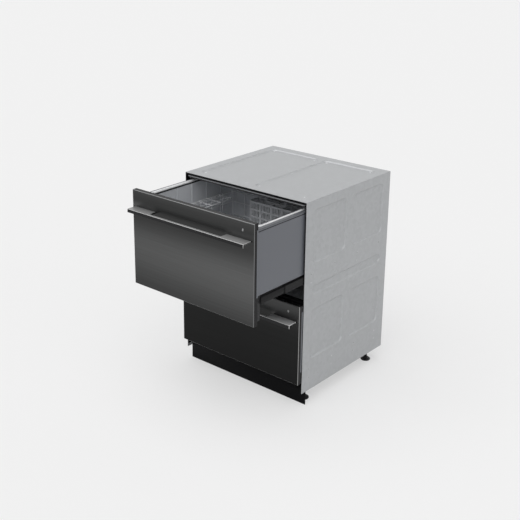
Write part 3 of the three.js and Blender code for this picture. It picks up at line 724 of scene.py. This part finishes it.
def makeTub(drawer):
    spec = tubForm

    def ring(share, inset, z):
        # between the wall's outline and the rim's
        corners = [a + (b - a) * share for a, b in zip(spec["wall"], spec["rim"])]
        corner = spec["wallCorner"] + (spec["rimCorner"] - spec["wallCorner"]) * share
        return [lift(p, z, "Z") for p in rounded(*corners, corner, 8)(inset)]

    under, floor, top, thick, cove = pick(spec, "under floor top thick cove")
    rimUnder = top - spec["rimDepth"]
    form = Form(origins[drawer])
    # each row: the share of the way from wall to rim, the inset and the height
    profile = [(0, 10, under), (0, 4, under + 1), (0, 1, under + 4), (0, 0, under + 9)]
    profile += [(0, 0, rimUnder - 3), (0.12, 0, rimUnder - 0.3), (0.3, 0, rimUnder)]
    # the rim's outer band, from here to the lip, takes the painted-shade grey
    edge = len(profile)
    profile += [(0.97, 0, rimUnder), (1, 0, rimUnder + 0.4), (1, 0, top - 3.4), (1, 0.3, top - 2.6),
                (1, 1.1, top - 2.2), (0.72, 0, top - 1.9), (0.49, 0, top - 1.9), (0.46, 0, top - 2.4)]
    lip = len(profile)
    profile += [(0.43, 0, top - 1.8), (0.43, 0, top - 0.6), (0.40, 0, top - 0.1), (0.34, 0, top),
                (0.06, 0, top), (0, 0.9, top - 0.5), (0, 2.4, top - 2.2), (0, thick, top - 5)]
    # painted shade: the rim's inner edge has a dark rubber bead below it that stands in for the shade under
    # the rim
    shadeBead = len(profile) - 1  # a dark bead under the rim's inner edge
    profile += [(0, thick + 1.1, top - 5.6), (0, thick + 1.5, top - 6.6), (0, thick + 1.5, top - 10.4),
                (0, thick + 1.1, top - 11.4), (0, thick, top - 12)]
    wall = len(profile) - 1
    profile += [(0, inset, z) for inset, z in arc(thick + cove, floor + cove, cove, 180, 270, 5)]
    skins = [0] * edge + [1] * (lip - edge) + [2] * (shadeBead - lip) + [3] * (wall - shadeBead)
    skins += [0] * (len(profile) - 1 - wall)
    first, last = form.rings([ring(*row) for row in profile], skins)
    outlet = [(-1.2, floor), (0, floor - 1.2), (0, under)]
    near, far = form.rings(stacked(circle(*spec["drain"], spec["drainRadius"], 40), outlet, "Z"))
    form.fill([last, near])
    form.fill([first, far])
    armX, armY = spec["arm"]
    for k in range(spec["ribs"]):
        middle = armY + (k - 2) * spec["ribPitch"]
        form.sideBars(spec["ribFace"], spec["ribFace"] + 4, middle - 3.5, middle + 3.5, floor - 1,
                      spec["ribTop"], 1.2)
    spout = [(30, -0.5), (24, 1), (18.5, 4), (16, 9), (15.2, 13), (6, 13), (5.8, 29.5), (4.6, 31)]
    form.turned(spout, (armX, armY, floor), "Z", 28)
    x0, x1, z0, z1 = spec["window"]
    form.band(rounded(x0 - 4, x1 + 4, z0 - 4, z1 + 4, 6, 4), *spec["bezel"], 3.8, "Y", 0.6)
    fit(drawer, "TubShell", form, ["tub", "rimBand", "rimLip", "rubber"], "wash_tub")


# Grey wrapper round the tub.
wrapperForm = {
    "half": 290.2, "front": -376.2, "back": 158.5, "corner": 9, "sheet": 1.2,
    "bottom": 543, "top": 783.7, "flange": 19,
}


def makeWrapper(drawer):
    half, front, back, corner, sheet, bottom, top, flange = wrapperForm.values()
    path = [((half, front), (1, 0)), ((half, front + 1), (1, 0))]
    path += [
        ((half - corner + corner * u, back - corner + corner * v), (u, v)) for u, v in arc(0, 0, 1, 0, 90, 8)
    ]
    path += [((-x, y), (-u, v)) for (x, y), (u, v) in reversed(path)]
    # how far in from the outside, and the height, round the sheet's section
    face = [(0.9, bottom), (0.3, bottom + 0.3), (0, bottom + 1), (0, bottom + 3.6), (0.2, bottom + 4.2),
            (0.8, bottom + 4.9), (0.8, top - 8.2), (1.9, top - 7.8), (1.9, top - 4.6), (0.8, top - 4.2),
            (0.5, top - 3.7), (0.5, top - 0.4), (0.8, top)]
    section = face + [(inset + sheet, z) for inset, z in reversed(face[4:])]
    section += [(1.6, bottom + 1.4), (1.4, bottom)]
    # a dark bead lies in the groove under the rim, as painted shade that deepens the groove
    shadeBead = [(1.4, top - 7.4), (1.1, top - 6.8), (1.1, top - 5.6), (1.4, top - 5), (2.4, top - 5),
            (2.4, top - 7.4)]
    form = Form(origins[drawer])
    for skin, shape in enumerate((section, shadeBead)):
        rings = [[(x - u * inset, y - v * inset, z) for inset, z in shape] for (x, y), (u, v) in path]
        form.loft(rings, skin)
    form.sideBars(half - flange, half - 1, front + 24, back - 1, bottom, bottom + sheet, 0.4)
    fit(drawer, "WrapperSheet", form, ["wrapper", "rubber"], "tub_wrapper")


# Sump, pump and filter under the tub.
sumpForm = {
    "ribs": 16, "ribReach": (72, 80), "ribHalf": 1.3, "ribLevels": (500, 549),
    "channel": (2, 48, -225, -112), "channelLevels": (491.5, 548.3),
    "clamp": 78.4, "clampLevels": (528, 536), "clampWidth": 6,
}


def makeSump(drawer):
    ribs, ribReach, ribHalf, ribLevels, channel, channelLevels, clamp, clampLevels, width = sumpForm.values()
    x, y = tubForm["drain"]
    form = Form(origins[drawer])
    bowl = [(40, 475), (66, 475), (72, 478), (74, 484), (74, 545.5), (77, 548.3), (88.5, 548.6),
            (90, 549.5), (90, 552), (89.2, 552.7), (56.5, 552.7), (56, 552.2), (56, 516), (52, 514.7),
            (10, 514.7)]
    form.turned(bowl, (x, y, 0), "Z", 48)
    for u, v in around(ribs, 0.5):
        near, far = [Vector((x + u * reach, y + v * reach)) for reach in ribReach]
        half = Vector((-v, u)) * ribHalf
        form.plate(polygon([near - half, far - half, far + half, near + half]), *ribLevels, "Z", 0.4)
    pump = [(30, 483), (44, 483), (50, 486), (52, 492), (52, 505), (50.6, 506), (50.6, 508), (52, 509),
            (52, 522), (50.6, 523), (50.6, 525), (52, 526), (52, 549), (49, 552.7), (20, 552.7)]
    form.turned(pump, (*tubForm["arm"], 0), "Z", 40)
    form.plate(rounded(*channel, 6, 3), *channelLevels, "Z", 2.5)
    form.band(circle(x, y, clamp, 40), *clampLevels, width, "Z", 0.8, 1)
    fit(drawer, "SumpBowl", form, ["blackPart", "greyPart"], "sump")


filterForm = {
    "seat": 554.7, "top": 555.7, "grooves": 9, "firstGroove": 56, "groovePitch": 3.6,
    "spokes": 24, "spokeReach": (23, 57), "gripHalf": (26, 4), "gripTop": 563.4,
}


def makeFilter(drawer):
    seat, top, grooves, firstGroove, pitch, spokes, spokeReach, gripHalf, gripTop = filterForm.values()
    x, y = tubForm["drain"]
    long, wide = gripHalf
    form = Form(origins[drawer])
    disc = [(44.5, 521.2), (45.6, 520.7), (46, 521.2), (46, 553), (59.4, 553.2), (60, 553.8), (60, 554.6),
            (59, top)]
    for k in range(grooves):
        outer = firstGroove - k * pitch
        disc += [(outer, top), (outer - 0.4, top - 0.6), (outer - 1.6, top - 0.6), (outer - 2.0, top)]
    disc += [(22, top), (20, seat), (8, seat)]
    form.turned(disc, (x, y, 0), "Z", 48)
    form.bar(x - long, x + long, y - wide, y + wide, seat, gripTop, 1.6)
    for u, v in around(spokes):
        form.tube([(x + u * reach, y + v * reach, top - 0.3) for reach in spokeReach], 0.5, 6)
    fit(drawer, "FilterPlate", form, ["greyPart"], "drain_filter", moving=True)


# Spray arm: a lofted blade with raised jets.
armForm = {
    "middle": 575.8, "reach": 205, "half": 16.8, "taper": 4.2, "tall": 4.5, "thinning": 1.2,
    "tip": 13, "facets": 20, "jets": (48, 84, 118, 150, 178), "jetSide": 4,
}


def makeSprayArm(drawer):
    middle, reach, half, taper, tall, thinning, tip, facets, jets, jetSide = armForm.values()
    hubX, hubY = tubForm["arm"]
    form = Form(origins[drawer])

    def section(share):
        # the blade's rounded section at a share of its reach
        along = math.copysign(1 - (1 - abs(share)) ** 1.6, share)
        x = along * reach
        closing = max(0.0, (abs(x) - (reach - tip)) / tip)
        size = math.sqrt(max(1 - closing * closing, 0.0004))
        wide, high = (half - taper * abs(along)) * size, (tall - thinning * abs(along)) * size
        squarer = [[math.copysign(abs(c) ** 0.7, c) for c in out] for out in around(facets)]
        return [(x, hubY + u * wide, middle + v * high) for u, v in squarer]

    form.loft([section(share) for share in spread(-1, 1, 41)])
    hub = [(6.5, 569.3), (15, 569.3), (21, 571), (24, 575), (23.4, 579.6), (19, 582.4), (10, 584.2),
           (6.5, 584.3)]
    form.turned(hub, (hubX, hubY, 0), "Z", 32)
    jet = [(5, -0.8), (4.4, 0.4), (3.4, 1.0), (1.5, 1.0), (1.3, 0.2)]
    for sign in sides.values():
        for k, x in enumerate(jets):
            y = hubY + sign * (jetSide if k % 2 else -jetSide)
            form.turned(jet, (sign * x, y, middle + tall - 0.4 - thinning * x / reach), "Z", 14)
    fit(drawer, "SprayBlade", form, ["greyPart"], "spray_arm", moving=True)


# Racks.
rackForm = {
    "half": 255, "front": -332.2, "back": 123.5, "corner": 14, "rim": 696, "middle": 652, "cross": 598.6,
    "long": 597.2, "tines": spread(-300.2, 7.5, 8), "fixedTine": 158, "tineTop": 666,
    "foldTine": 52, "foldRod": 602.8, "foldTop": 668.8,
    "wire": 1.4, "tineWire": 1.6, "legWire": 1.7, "rimWire": 2.0, "rodWire": 2.4,  # radii
}


def makeRack(drawer):
    half, front, back, rim, cross, long = pick(rackForm, "half front back rim cross long")
    tines, fixed, fold, rod, wire, leg = pick(rackForm, "tines fixedTine foldTine foldRod wire legWire")
    form = Form(origins[drawer])
    hoop = rounded(-half, half, front, back, rackForm["corner"], 5)()
    for z, radius in ((rim, rackForm["rimWire"]), (cross, leg), (rackForm["middle"], wire)):
        form.tube([(x, y, z) for x, y in hoop], radius, 10, shut=True)
    for y in spread(front, back, 8)[1:-1]:
        form.tube(bend([(-half, y, rim), (-half, y, cross), (half, y, cross), (half, y, rim)], 12), wire)
    for x in spread(-half, half, 9)[1:-1]:
        form.tube(bend([(x, front, rim), (x, front, long), (x, back, long), (x, back, rim)], 12), wire)
    foot = [(2.2, 556.4), (5, 556.8), (6.4, 559), (6.4, 566), (4.5, 569), (2.2, 572)]
    clip = [(2.2, -7), (3.1, -6.6), (3.4, -6), (3.4, 6), (3.1, 6.6), (2.2, 7)]
    for sign in sides.values():
        x = sign * (half - 4)
        for y, seat in ((front + 4, front + 4.5), (back - 4, back - 4.5)):
            form.tube([(x, y, rim), (x, y, 562)], leg)
            form.turned(foot, (x, seat, 0), "Z", 16, 1)
        for y in (-300, -137, 26):
            form.turned(clip, (sign * half, y, rim), "Y", 14, 1)
    form.tube([(fixed, front, long), (fixed, back, long)], wire)
    for y in tines:
        form.tube([(fixed, y, long), (fixed, y, rackForm["tineTop"])], rackForm["tineWire"])
    bearing = [(2.8, -4), (4.3, -3.6), (4.6, -3), (4.6, 3), (4.3, 3.6), (2.8, 4)]
    for y in spread(tines[0] + 22, tines[-1] - 22, 3):
        form.turned(bearing, (fold, y, rod), "Y", 16, 1)
    fit(drawer, "RackWires", form, ["wire", "greyPart"], "dish_rack")


def makeFoldingTines(drawer):
    x, rod, top, tines = pick(rackForm, "foldTine foldRod foldTop tines")
    form = Form(origins[drawer])
    form.tube([(x, tines[0] - 20, rod), (x, tines[-1] + 20, rod)], rackForm["rodWire"], 10)
    for y in tines:
        form.tube([(x, y, rod), (x, y, top)], rackForm["tineWire"])
    fit(drawer, "FoldingRow", form, ["wire"], "folding_tines", moving=True)


shelfForm = {
    "hinge": rackForm["half"], "inner": 180.9, "start": -310.2, "end": 35.8, "level": 700.3, "bars": 7,
}


def makeCupShelf(drawer, side):
    hinge, inner, start, end, z, bars = shelfForm.values()
    sign, wire = sides[side], rackForm["wire"]
    x0, x1 = sorted((sign * inner, sign * hinge))
    form = Form(origins[drawer])
    form.tube([(x, y, z) for x, y in rounded(x0, x1, start, end, 9, 4)()], 1.9, 10, shut=True)
    dip = [(hinge, z), (hinge - 20, z - 0.3), (inner + 20, z - 0.3), (inner, z)]
    for y in spread(start + 18, end - 18, bars):
        form.tube([(sign * x, y, level) for x, level in dip], wire)
    for x in (inner + 24, inner + 50):
        form.tube([(sign * x, start + 1, z), (sign * x, end - 1, z)], wire)
    fit(drawer, f"CupShelf{side.title()}", form, ["wire"], f"cup_shelf_{side}", moving=True)


# Cutlery basket with slotted walls.
basketForm = {
    "half": 108, "front": 57.5, "back": 119.5, "bottom": 600.3, "top": 704.3, "wall": 2, "cells": 4,
    "slotRows": ((612, 636), (642, 666), (672, 696)), "slotHalf": 1.7,
}


def makeBasket(drawer):
    half, front, back, bottom, top, wall, cells, slotRows, slotHalf = basketForm.values()
    pitch = (2 * half - wall) / cells
    form = Form(origins[drawer])

    def slots(first, last, count):
        return [
            rounded(middle - slotHalf, middle + slotHalf, z0, z1, slotHalf / 1.1, 2)
            for middle in spread(first, last, count) for z0, z1 in slotRows
        ]

    lefts = [-half + k * pitch for k in range(cells)]
    long = [slot for left in lefts for slot in slots(left + wall + 7, left + pitch - 7, 6)]
    side = rounded(-half, half, bottom, top, 3, 3)
    form.plate(side, front, front + wall, "Y", 0.4, long, 1)
    form.plate(side, back - wall, back, "Y", 0.4, long, 1)
    ends = slots(front + 10, back - 10, 7)
    for x in (-half, half - wall):
        form.plate(rounded(front + 0.5, back - 0.5, bottom, top, 2, 3), x, x + wall, "X", 0.4, ends, 1)
    for x in lefts[1:]:
        form.plate(rounded(front + 1, back - 1, bottom + 1, top - 2, 2, 2), x, x + wall, "X", 0.4, ends, 1)
    grid = [
        rounded(x - 3.4, x + 3.4, y - 3, y + 3, 1, 1)
        for x in spread(-half + 9, half - 9, 20) for y in spread(front + 9, back - 9, 5)
    ]
    floor = rounded(-half + 0.5, half - 0.5, front + 0.5, back - 0.5, 3, 3)
    form.plate(floor, bottom, bottom + wall, "Z", 0.4, grid, 1)
    lip = rounded(-half - 0.7, half + 0.7, front - 0.7, back + 0.7, 3.5, 3)
    form.band(lip, top - 4, top, 3.2, "Z", 0.9)
    grip, middle = rounded(-54, 54, top - 12, top + 26, 9, 5), (front + back) / 2
    form.plate(grip, middle - 2, middle + 2, "Y", 1.2, [rounded(-44, 44, top + 4, top + 18, 6, 4)], 2)
    fit(drawer, "CutleryCage", form, ["palePart"], "cutlery_basket")


# Detergent door and rinse cap.
dispenserForm = {
    "back": -346.9, "face": -343.6, "flap": (-69, 15, 716.6, 762), "latch": (-33, -21),
    "cap": (52, 740), "knurls": 20, "knurlRadius": 16.6,
}


def makeDispenser(drawer):
    back, face, (x0, x1, z0, z1), latch, (capX, capZ), knurls, radius = dispenserForm.values()
    form = Form(origins[drawer])
    form.plate(rounded(x0, x1, z0, z1, 4, 4), back, face, "Y", 0.8)
    form.band(rounded(x0 + 4, x1 - 4, z0 + 3.9, z1 - 4, 3, 3), face - 0.3, face + 0.7, 1.4, "Y", 0.3)
    form.bar(*latch, face - 0.4, face + 0.7, z1 - 10, z1 - 2, 0.5)
    form.tube([(x, face - 1.32, z0 + 1.4) for x in (x0 + 0.5, x1 - 0.5)], 1.65, 12)
    fit(drawer, "DispenserFlap", form, ["greyPart"], "dispenser_door", moving=True)
    form = Form(origins[drawer])
    cap = [(4, 0), (16.4, 0), (17, 0.6), (17, 3.4), (16.2, 4.4), (13.4, 5), (13, 4.4), (12, 4.2), (4, 4.2)]
    form.turned(cap, (capX, back, capZ), "Y", 40)
    form.bar(capX - 14, capX + 14, back + 3.7, back + 12, capZ - 3, capZ + 3, 1.6)
    for u, v in around(knurls):
        form.tube([(capX + u * radius, y, capZ + v * radius) for y in (back + 0.5, face)], 0.5, 6)
    fit(drawer, "RinseCap", form, ["greyPart"], "rinse_cap", moving=True)


for drawer in drawers:
    makeFront(drawer)
    makeHandle(drawer)
    makeButton(drawer)
    makeTub(drawer)
    makeWrapper(drawer)
    makeSump(drawer)
    makeFilter(drawer)
    makeSprayArm(drawer)
    makeRack(drawer)
    makeFoldingTines(drawer)
    makeBasket(drawer)
    makeDispenser(drawer)
    for side in sides:
        makeCupShelf(drawer, side)
    dress(f"{drawer}_door_carrier", "blackPart", 0.6)
    print(drawer, "drawer made")


# Lids and seals above each tub.
lidForm = {"half": 288, "sheet": 3.2, "deep": 4, "edge": 28, "hangers": (46, -70), "hangerLength": 24}


def makeLid(drawer):
    half, sheet, deep, edge, hangers, length = lidForm.values()
    low, high = boxOf(f"{drawer}_lid")
    y0, y1, z = low[1], high[1], low[2]
    form = Form()
    form.plate(rounded(-half, half, y0, y1, 8, 4), z, z + sheet, "Z", 0.8)
    for x in spread(-half + edge + 2, half - edge - 2, 9):
        form.bar(x - 1, x + 1, y0 + 12, y1 - 12, z + sheet - 0.4, z + deep, 0.4)
    for y in spread(y0 + 14, y1 - 14, 8):
        form.bar(-half + edge, half - edge, y - 1, y + 1, z + sheet - 0.4, z + deep, 0.4)
    form.band(rounded(-half + 1, half - 1, y0 + 1, y1 - 1, 7, 4), z + sheet - 0.6, z + deep, 3, "Z", 0.5)
    for y in (y0 + hangers[0], y1 + hangers[1]):
        form.sideBars(half - 8, high[0], y, y + length, z, z + deep, 0.8)
    fit(drawer, "LidPlate", form, ["lid"], "lid", moving=True)
    low, high = boxOf(f"{drawer}_lid_seal")
    z = low[2]
    section = [(0.6, z + 5), (0, z + 4.2), (1.2, z + 2.6), (0.4, z + 0.8), (1.6, z), (3.2, z + 0.9),
               (3.6, z + 2.4), (6.2, z + 2.4), (6.8, z + 0.9), (8.2, z), (9.5, z + 0.8), (8.8, z + 2.6),
               (10, z + 4.2), (9.4, z + 5)]
    form = Form()
    form.rings(stacked(rounded(low[0], high[0], low[1], high[1], 8, 5), section + section[:1], "Z"))
    piece(f"{drawer}LidGasket", form, ["rubber"], f"{drawer}_lid", f"{drawer}_lid_seal")


# Body sheets with pressed fields.
bodySheet = {"sunk": 4.4, "slope": 8.0, "corner": 24.0, "thickness": 1.0, "screwIn": 19}


def pressing(fields, sunk, slope, corner):
    # how deep a sheet is pressed at a point, over several rounded fields
    def depth(u, v):
        deepest = 0.0
        for x0, x1, y0, y1 in fields:
            across = abs(u - (x0 + x1) / 2) - (x1 - x0) / 2 + corner
            up = abs(v - (y0 + y1) / 2) - (y1 - y0) / 2 + corner
            away = math.hypot(max(across, 0), max(up, 0)) + min(max(across, up), 0) - corner
            share = min(max(-away / slope, 0), 1)
            deepest = max(deepest, sunk * share * share * (3 - 2 * share))
        return deepest
    return depth


def gridLines(low, high, breaks, slope, corner):
    # lines across a sheet, close together where a field slopes or turns
    lines = {low, high}
    for place, inward in breaks:
        for k in range(7):
            lines.add(place + inward * slope * k / 6)
        for k in range(1, 7):
            lines.add(place + inward * (slope + (corner - slope) * k / 6))
    lines = sorted(v for v in lines if low <= v <= high)
    kept = [lines[0]]
    for v in lines[1:]:
        gap = v - kept[-1]
        if gap < 0.2:
            continue
        count = max(1, math.ceil(gap / 45))
        kept += [kept[-1] + gap * k / count for k in range(1, count + 1)]
    return kept


def pressedSheet(node, axis, outward, inset, fields):
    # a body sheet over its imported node, pressed in from the outside
    sunk, slope, corner, thickness = pick(bodySheet, "sunk slope corner thickness")
    low, high = boxOf(node)
    outside = (high if outward > 0 else low)["XYZ".index(axis)]
    lines = []
    for k, way in enumerate({"X": (1, 2), "Y": (0, 2), "Z": (0, 1)}[axis]):
        breaks = [b for field in fields for b in ((field[2 * k], 1), (field[2 * k + 1], -1))]
        lines.append(gridLines(low[way], high[way], breaks, slope, corner))
    depth = pressing(fields, sunk, slope, corner)
    form = Form()
    form.sheet(*lines, depth, outside - outward * inset, thickness, axis, outward)
    return form, outside


sideSheet = {
    "margin": 42, "gap": 36, "levels": ((186, 392), (574, 784)), "strip": (446, 488),
    "rivetLevels": (114, 148, 504, 538), "rivets": 4, "inset": 0.05,
}


def makeSides():
    margin, gap, levels, strip, rivetLevels, rivets, inset = sideSheet.values()
    for side, sign in sides.items():
        node = f"side_panel_{side}"
        low, high = boxOf(node)
        y0, y1, middle = low[1], high[1], (low[1] + high[1]) / 2
        halves = ((y0 + margin, middle - gap / 2), (middle + gap / 2, y1 - margin))
        fields = [(*half, *level) for level in levels for half in halves]
        fields.append((y0 + margin, y1 - margin, *strip))
        form, outside = pressedSheet(node, "X", sign, inset, fields)
        rivet = [(r, sign * level) for r, level in ((3.4, -0.3), (3.3, 0.0), (2.4, 0.04), (1.2, 0.045))]
        for z in rivetLevels:
            for y in spread(y0 + 40, y1 - 60, rivets):
                form.turned(rivet, (outside - sign * inset, y, z), "X", 14, 1)
        piece(f"{side}SideSheet", form, ["zinc", "runner"], "body", node)


def makeFlatSheet(name, node, axis, fields):
    # pressed in from its top or its back, with pan heads in the corners of each field
    form, outside = pressedSheet(node, axis, 1, 0.02, fields)
    head = [(4.4, -0.4), (4.4, 0.2), (3.8, 0.8), (2.0, 1.0), (1.7, 0.95), (1.4, 0.35)]
    level, inward = outside - bodySheet["sunk"], bodySheet["screwIn"]
    for x0, x1, y0, y1 in fields:
        for place in [(x, y) for x in (x0 + inward, x1 - inward) for y in (y0 + inward, y1 - inward)]:
            form.turned(head, lift(place, level, axis), axis, 16, 1)
    piece(name, form, ["zinc", "runner"], "body", node)


def makeTopAndBack():
    low, high = boxOf("top_panel")
    y0, y1 = low[1] + 40, high[1] - 40
    makeFlatSheet("topSheet", "top_panel", "Z", [(-262, -12, y0, y1), (12, 262, y0, y1)])
    backFields = [(-258, 258, 100, 210), (-258, -12, 250, 560), (12, 258, 250, 560), (-258, 258, 600, 780)]
    makeFlatSheet("backSheet", "back_panel", "Y", backFields)


# Threaded feet.
footForm = {"threadStart": 15.0, "threadPitch": 2.0}


def makeFeet():
    for place in ("front_left", "front_right", "back_left", "back_right"):
        node = f"foot_{place}"
        low, high = boxOf(node)
        x, y, top = (low[0] + high[0]) / 2, (low[1] + high[1]) / 2, high[2]
        profile = [(17, 0), (18.6, 0.3), (20, 2), (20, 5), (19.2, 6), (13, 6.6), (10.5, 8), (10, 13.4),
                   (9.4, 14), (5.4, 14)]
        z = footForm["threadStart"]
        while z < top - 3:
            profile += [(5.3, z), (6, z + 0.6), (6, z + 1.0), (5.3, z + 1.6)]
            z += footForm["threadPitch"]
        profile += [(5.3, top - 1.2), (4.3, top)]
        nut = [(7, 6.2), (9.6, 6.2), (10.2, 6.8), (10.2, 12.6), (9.6, 13.2), (7, 13.2)]
        form = Form()
        form.turned(profile, (x, y, 0), "Z", 24)
        form.turned(nut, (x, y, 0), "Z", 6)
        piece(f"{node.title().replace('_', '')}Stem", form, ["blackPart"], node, node, 30)


# Water inlet block under the back.
inletForm = {
    "block": (105, 195, 362, 417, 24.7, 64), "ports": (130, 170), "portLevel": 47.7, "threads": 5,
    "threadPitch": 2.6, "capPlace": 388, "fins": 9,
}


def makeInlet():
    block, ports, level, threads, pitch, capPlace, fins = inletForm.values()
    x0, x1, front, back, bottom, top = block
    form = Form()
    form.bar(*block, 3)
    collar = [(8, -5), (15, -5), (15.5, -4), (15.5, -0.4), (9.2, 0)]
    thread = [(9.2, -1)]
    for k in range(threads):
        y = 0.6 + pitch * k
        thread += [(9.1, y), (10, y + 0.8), (10, y + 1.3), (9.1, y + 2.1)]
    thread += [(9.1, 14), (8.6, 15.5), (7, 15.5), (7, 8)]
    cap = [(10, -4), (14, -4), (14.6, -3), (14.6, 5.6), (13.6, 6.7), (5, 6.7)]
    for x in ports:
        form.turned(collar, (x, back, level), "Y", 24)
        form.turned(thread, (x, back, level), "Y", 24)
        form.turned(cap, (x, capPlace, top), "Z", 24, 1)
    for x in spread(x0 + 4, x1 - 4, fins):
        form.bar(x - 0.9, x + 0.9, front - 3.5, front + 1, bottom + 2.3, top - 2, 0.6)
    form.bar(x0, x1, front - 5.5, front - 2.5, bottom + 5.3, top - 6, 1.2)
    piece("inletBlock", form, ["blackPart", "greyPart"], "body", "inlet_block")


# Telescopic runners: folded channels with rivets.
runnerForm = {"sheet": 2.0, "rivetShares": (0.06, 0.36, 0.66, 0.94)}


def channelRunner(name, node, body, sign):
    # a channel open towards the tub, swept along the slide
    low, high = boxOf(node)
    mouth, back = (low[0], high[0]) if sign > 0 else (-high[0], -low[0])
    bottom, top, sheet = low[2], high[2], runnerForm["sheet"]
    corners = [(mouth, bottom), (back, bottom), (back, top), (mouth, top), (mouth, top - sheet),
               (back - sheet, top - sheet), (back - sheet, bottom + sheet), (mouth, bottom + sheet)]
    outline = polygon(softened(corners, [0.5, 1.8, 1.8, 0.5, 0.5, 0.8, 0.8, 0.5], 3))
    stations = [(low[1], 0.4), (low[1] + 0.4, 0), (high[1] - 0.4, 0), (high[1], 0.4)]
    form = Form()
    form.loft([[(sign * x, y, z) for x, z in outline(inset)] for y, inset in stations])
    rivet = [(r, sign * level) for r, level in ((4.0, 0.2), (3.9, -0.1), (3.0, -0.2), (1.4, -0.22))]
    for share in runnerForm["rivetShares"]:
        y = low[1] + (high[1] - low[1]) * share
        form.turned(rivet, (sign * (back - sheet), y, (bottom + top) / 2), "X", 14, 1)
    piece(name, form, ["blackRunner", "runner"], body, node)


def makeRunners(drawer):
    for side, sign in sides.items():
        for member in ("outer", "middle"):
            node = f"{drawer}_{member}_runner_{side}"
            body = "body" if member == "outer" else node
            channelRunner(f"{drawer}{member.title()}Runner{side.title()}", node, body, sign)
        dress(f"{drawer}_inner_runner_{side}", "blackRunner")


for drawer in drawers:
    makeLid(drawer)
    makeRunners(drawer)
makeSides()
makeTopAndBack()
makeFeet()
makeInlet()
dress("base_pan", "zinc")
dress("toe_kick", "blackPaint", 0.6)
dress("front_frame", "blackPaint", 0.7)
print("body made")


# Floor, light and background.
studio = {
    "floorTone": (0.86, 0.86, 0.86), "floorHalf": 60.0, "floorGlow": 0.5, "glow": 0.97,
    "background": 0.90, "ambient": 0.26,
    "suns": {"key": (1.85, 84, 24, -12), "fill": (0.72, 80, 58, 64)},  # strength, width, pitch, yaw
}


def makeFloor():
    reach = studio["floorHalf"]
    corners = [(-reach, -reach, 0), (reach, -reach, 0), (reach, reach, 0), (-reach, reach, 0)]
    mesh = bpy.data.meshes.new("studioFloor")
    mesh.from_pydata(corners, [], [(0, 1, 2, 3)])
    floor = putInScene("studioFloor", mesh)
    paint = Paint("floorPaper", {"Roughness": 0.9, "Specular IOR Level": 0.1})
    grain = paint.noise(18.0, detail=3.0)
    tone = studio["floorTone"]
    colour = paint.mix(grain, scaled(tone, 0.995), scaled(tone, 1.005))
    mesh.materials.append(paint.feed(Base_Color=colour))
    # it glows a little where it is looked at, so that the paper stays white
    share = paint.shownDirectly() * studio["floorGlow"]
    glow = paint.node("ShaderNodeEmission", {}, {"Strength": studio["glow"]})
    paper = Value(paint, paint.shader.outputs[0])
    chosen = paint.node("ShaderNodeMixShader", {}, {0: share, 1: paper, 2: glow})
    paint.tree.links.new(chosen.socket, paint.tree.nodes["Material Output"].inputs["Surface"])


def makeWorld():
    world = bpy.data.worlds.new("studioWorld")
    bpy.context.scene.world = world
    world.use_nodes = True
    world.node_tree.nodes.clear()
    nodes = Nodes(world.node_tree)
    ambient, pale = [
        nodes.node("ShaderNodeBackground", {}, {"Color": (1, 1, 1, 1), "Strength": studio[name]})
        for name in ("ambient", "background")
    ]
    chosen = nodes.node("ShaderNodeMixShader", {}, {0: nodes.shownDirectly(), 1: ambient, 2: pale})
    output = nodes.tree.nodes.new("ShaderNodeOutputWorld")
    nodes.tree.links.new(chosen.socket, output.inputs["Surface"])


def addSun(name, strength, width, pitch, yaw):
    # a wide soft light from a direction: pitch down from overhead, yaw round from the front
    data = bpy.data.lights.new(name, "SUN")
    data.energy = strength
    data.angle = math.radians(width)
    putInScene(name, data).rotation_euler = (math.radians(pitch), 0, math.radians(yaw))


makeFloor()
makeWorld()
for name, numbers in studio["suns"].items():
    addSun(name, *numbers)
bpy.context.scene.view_settings.view_transform = "Standard"
print("studio made")
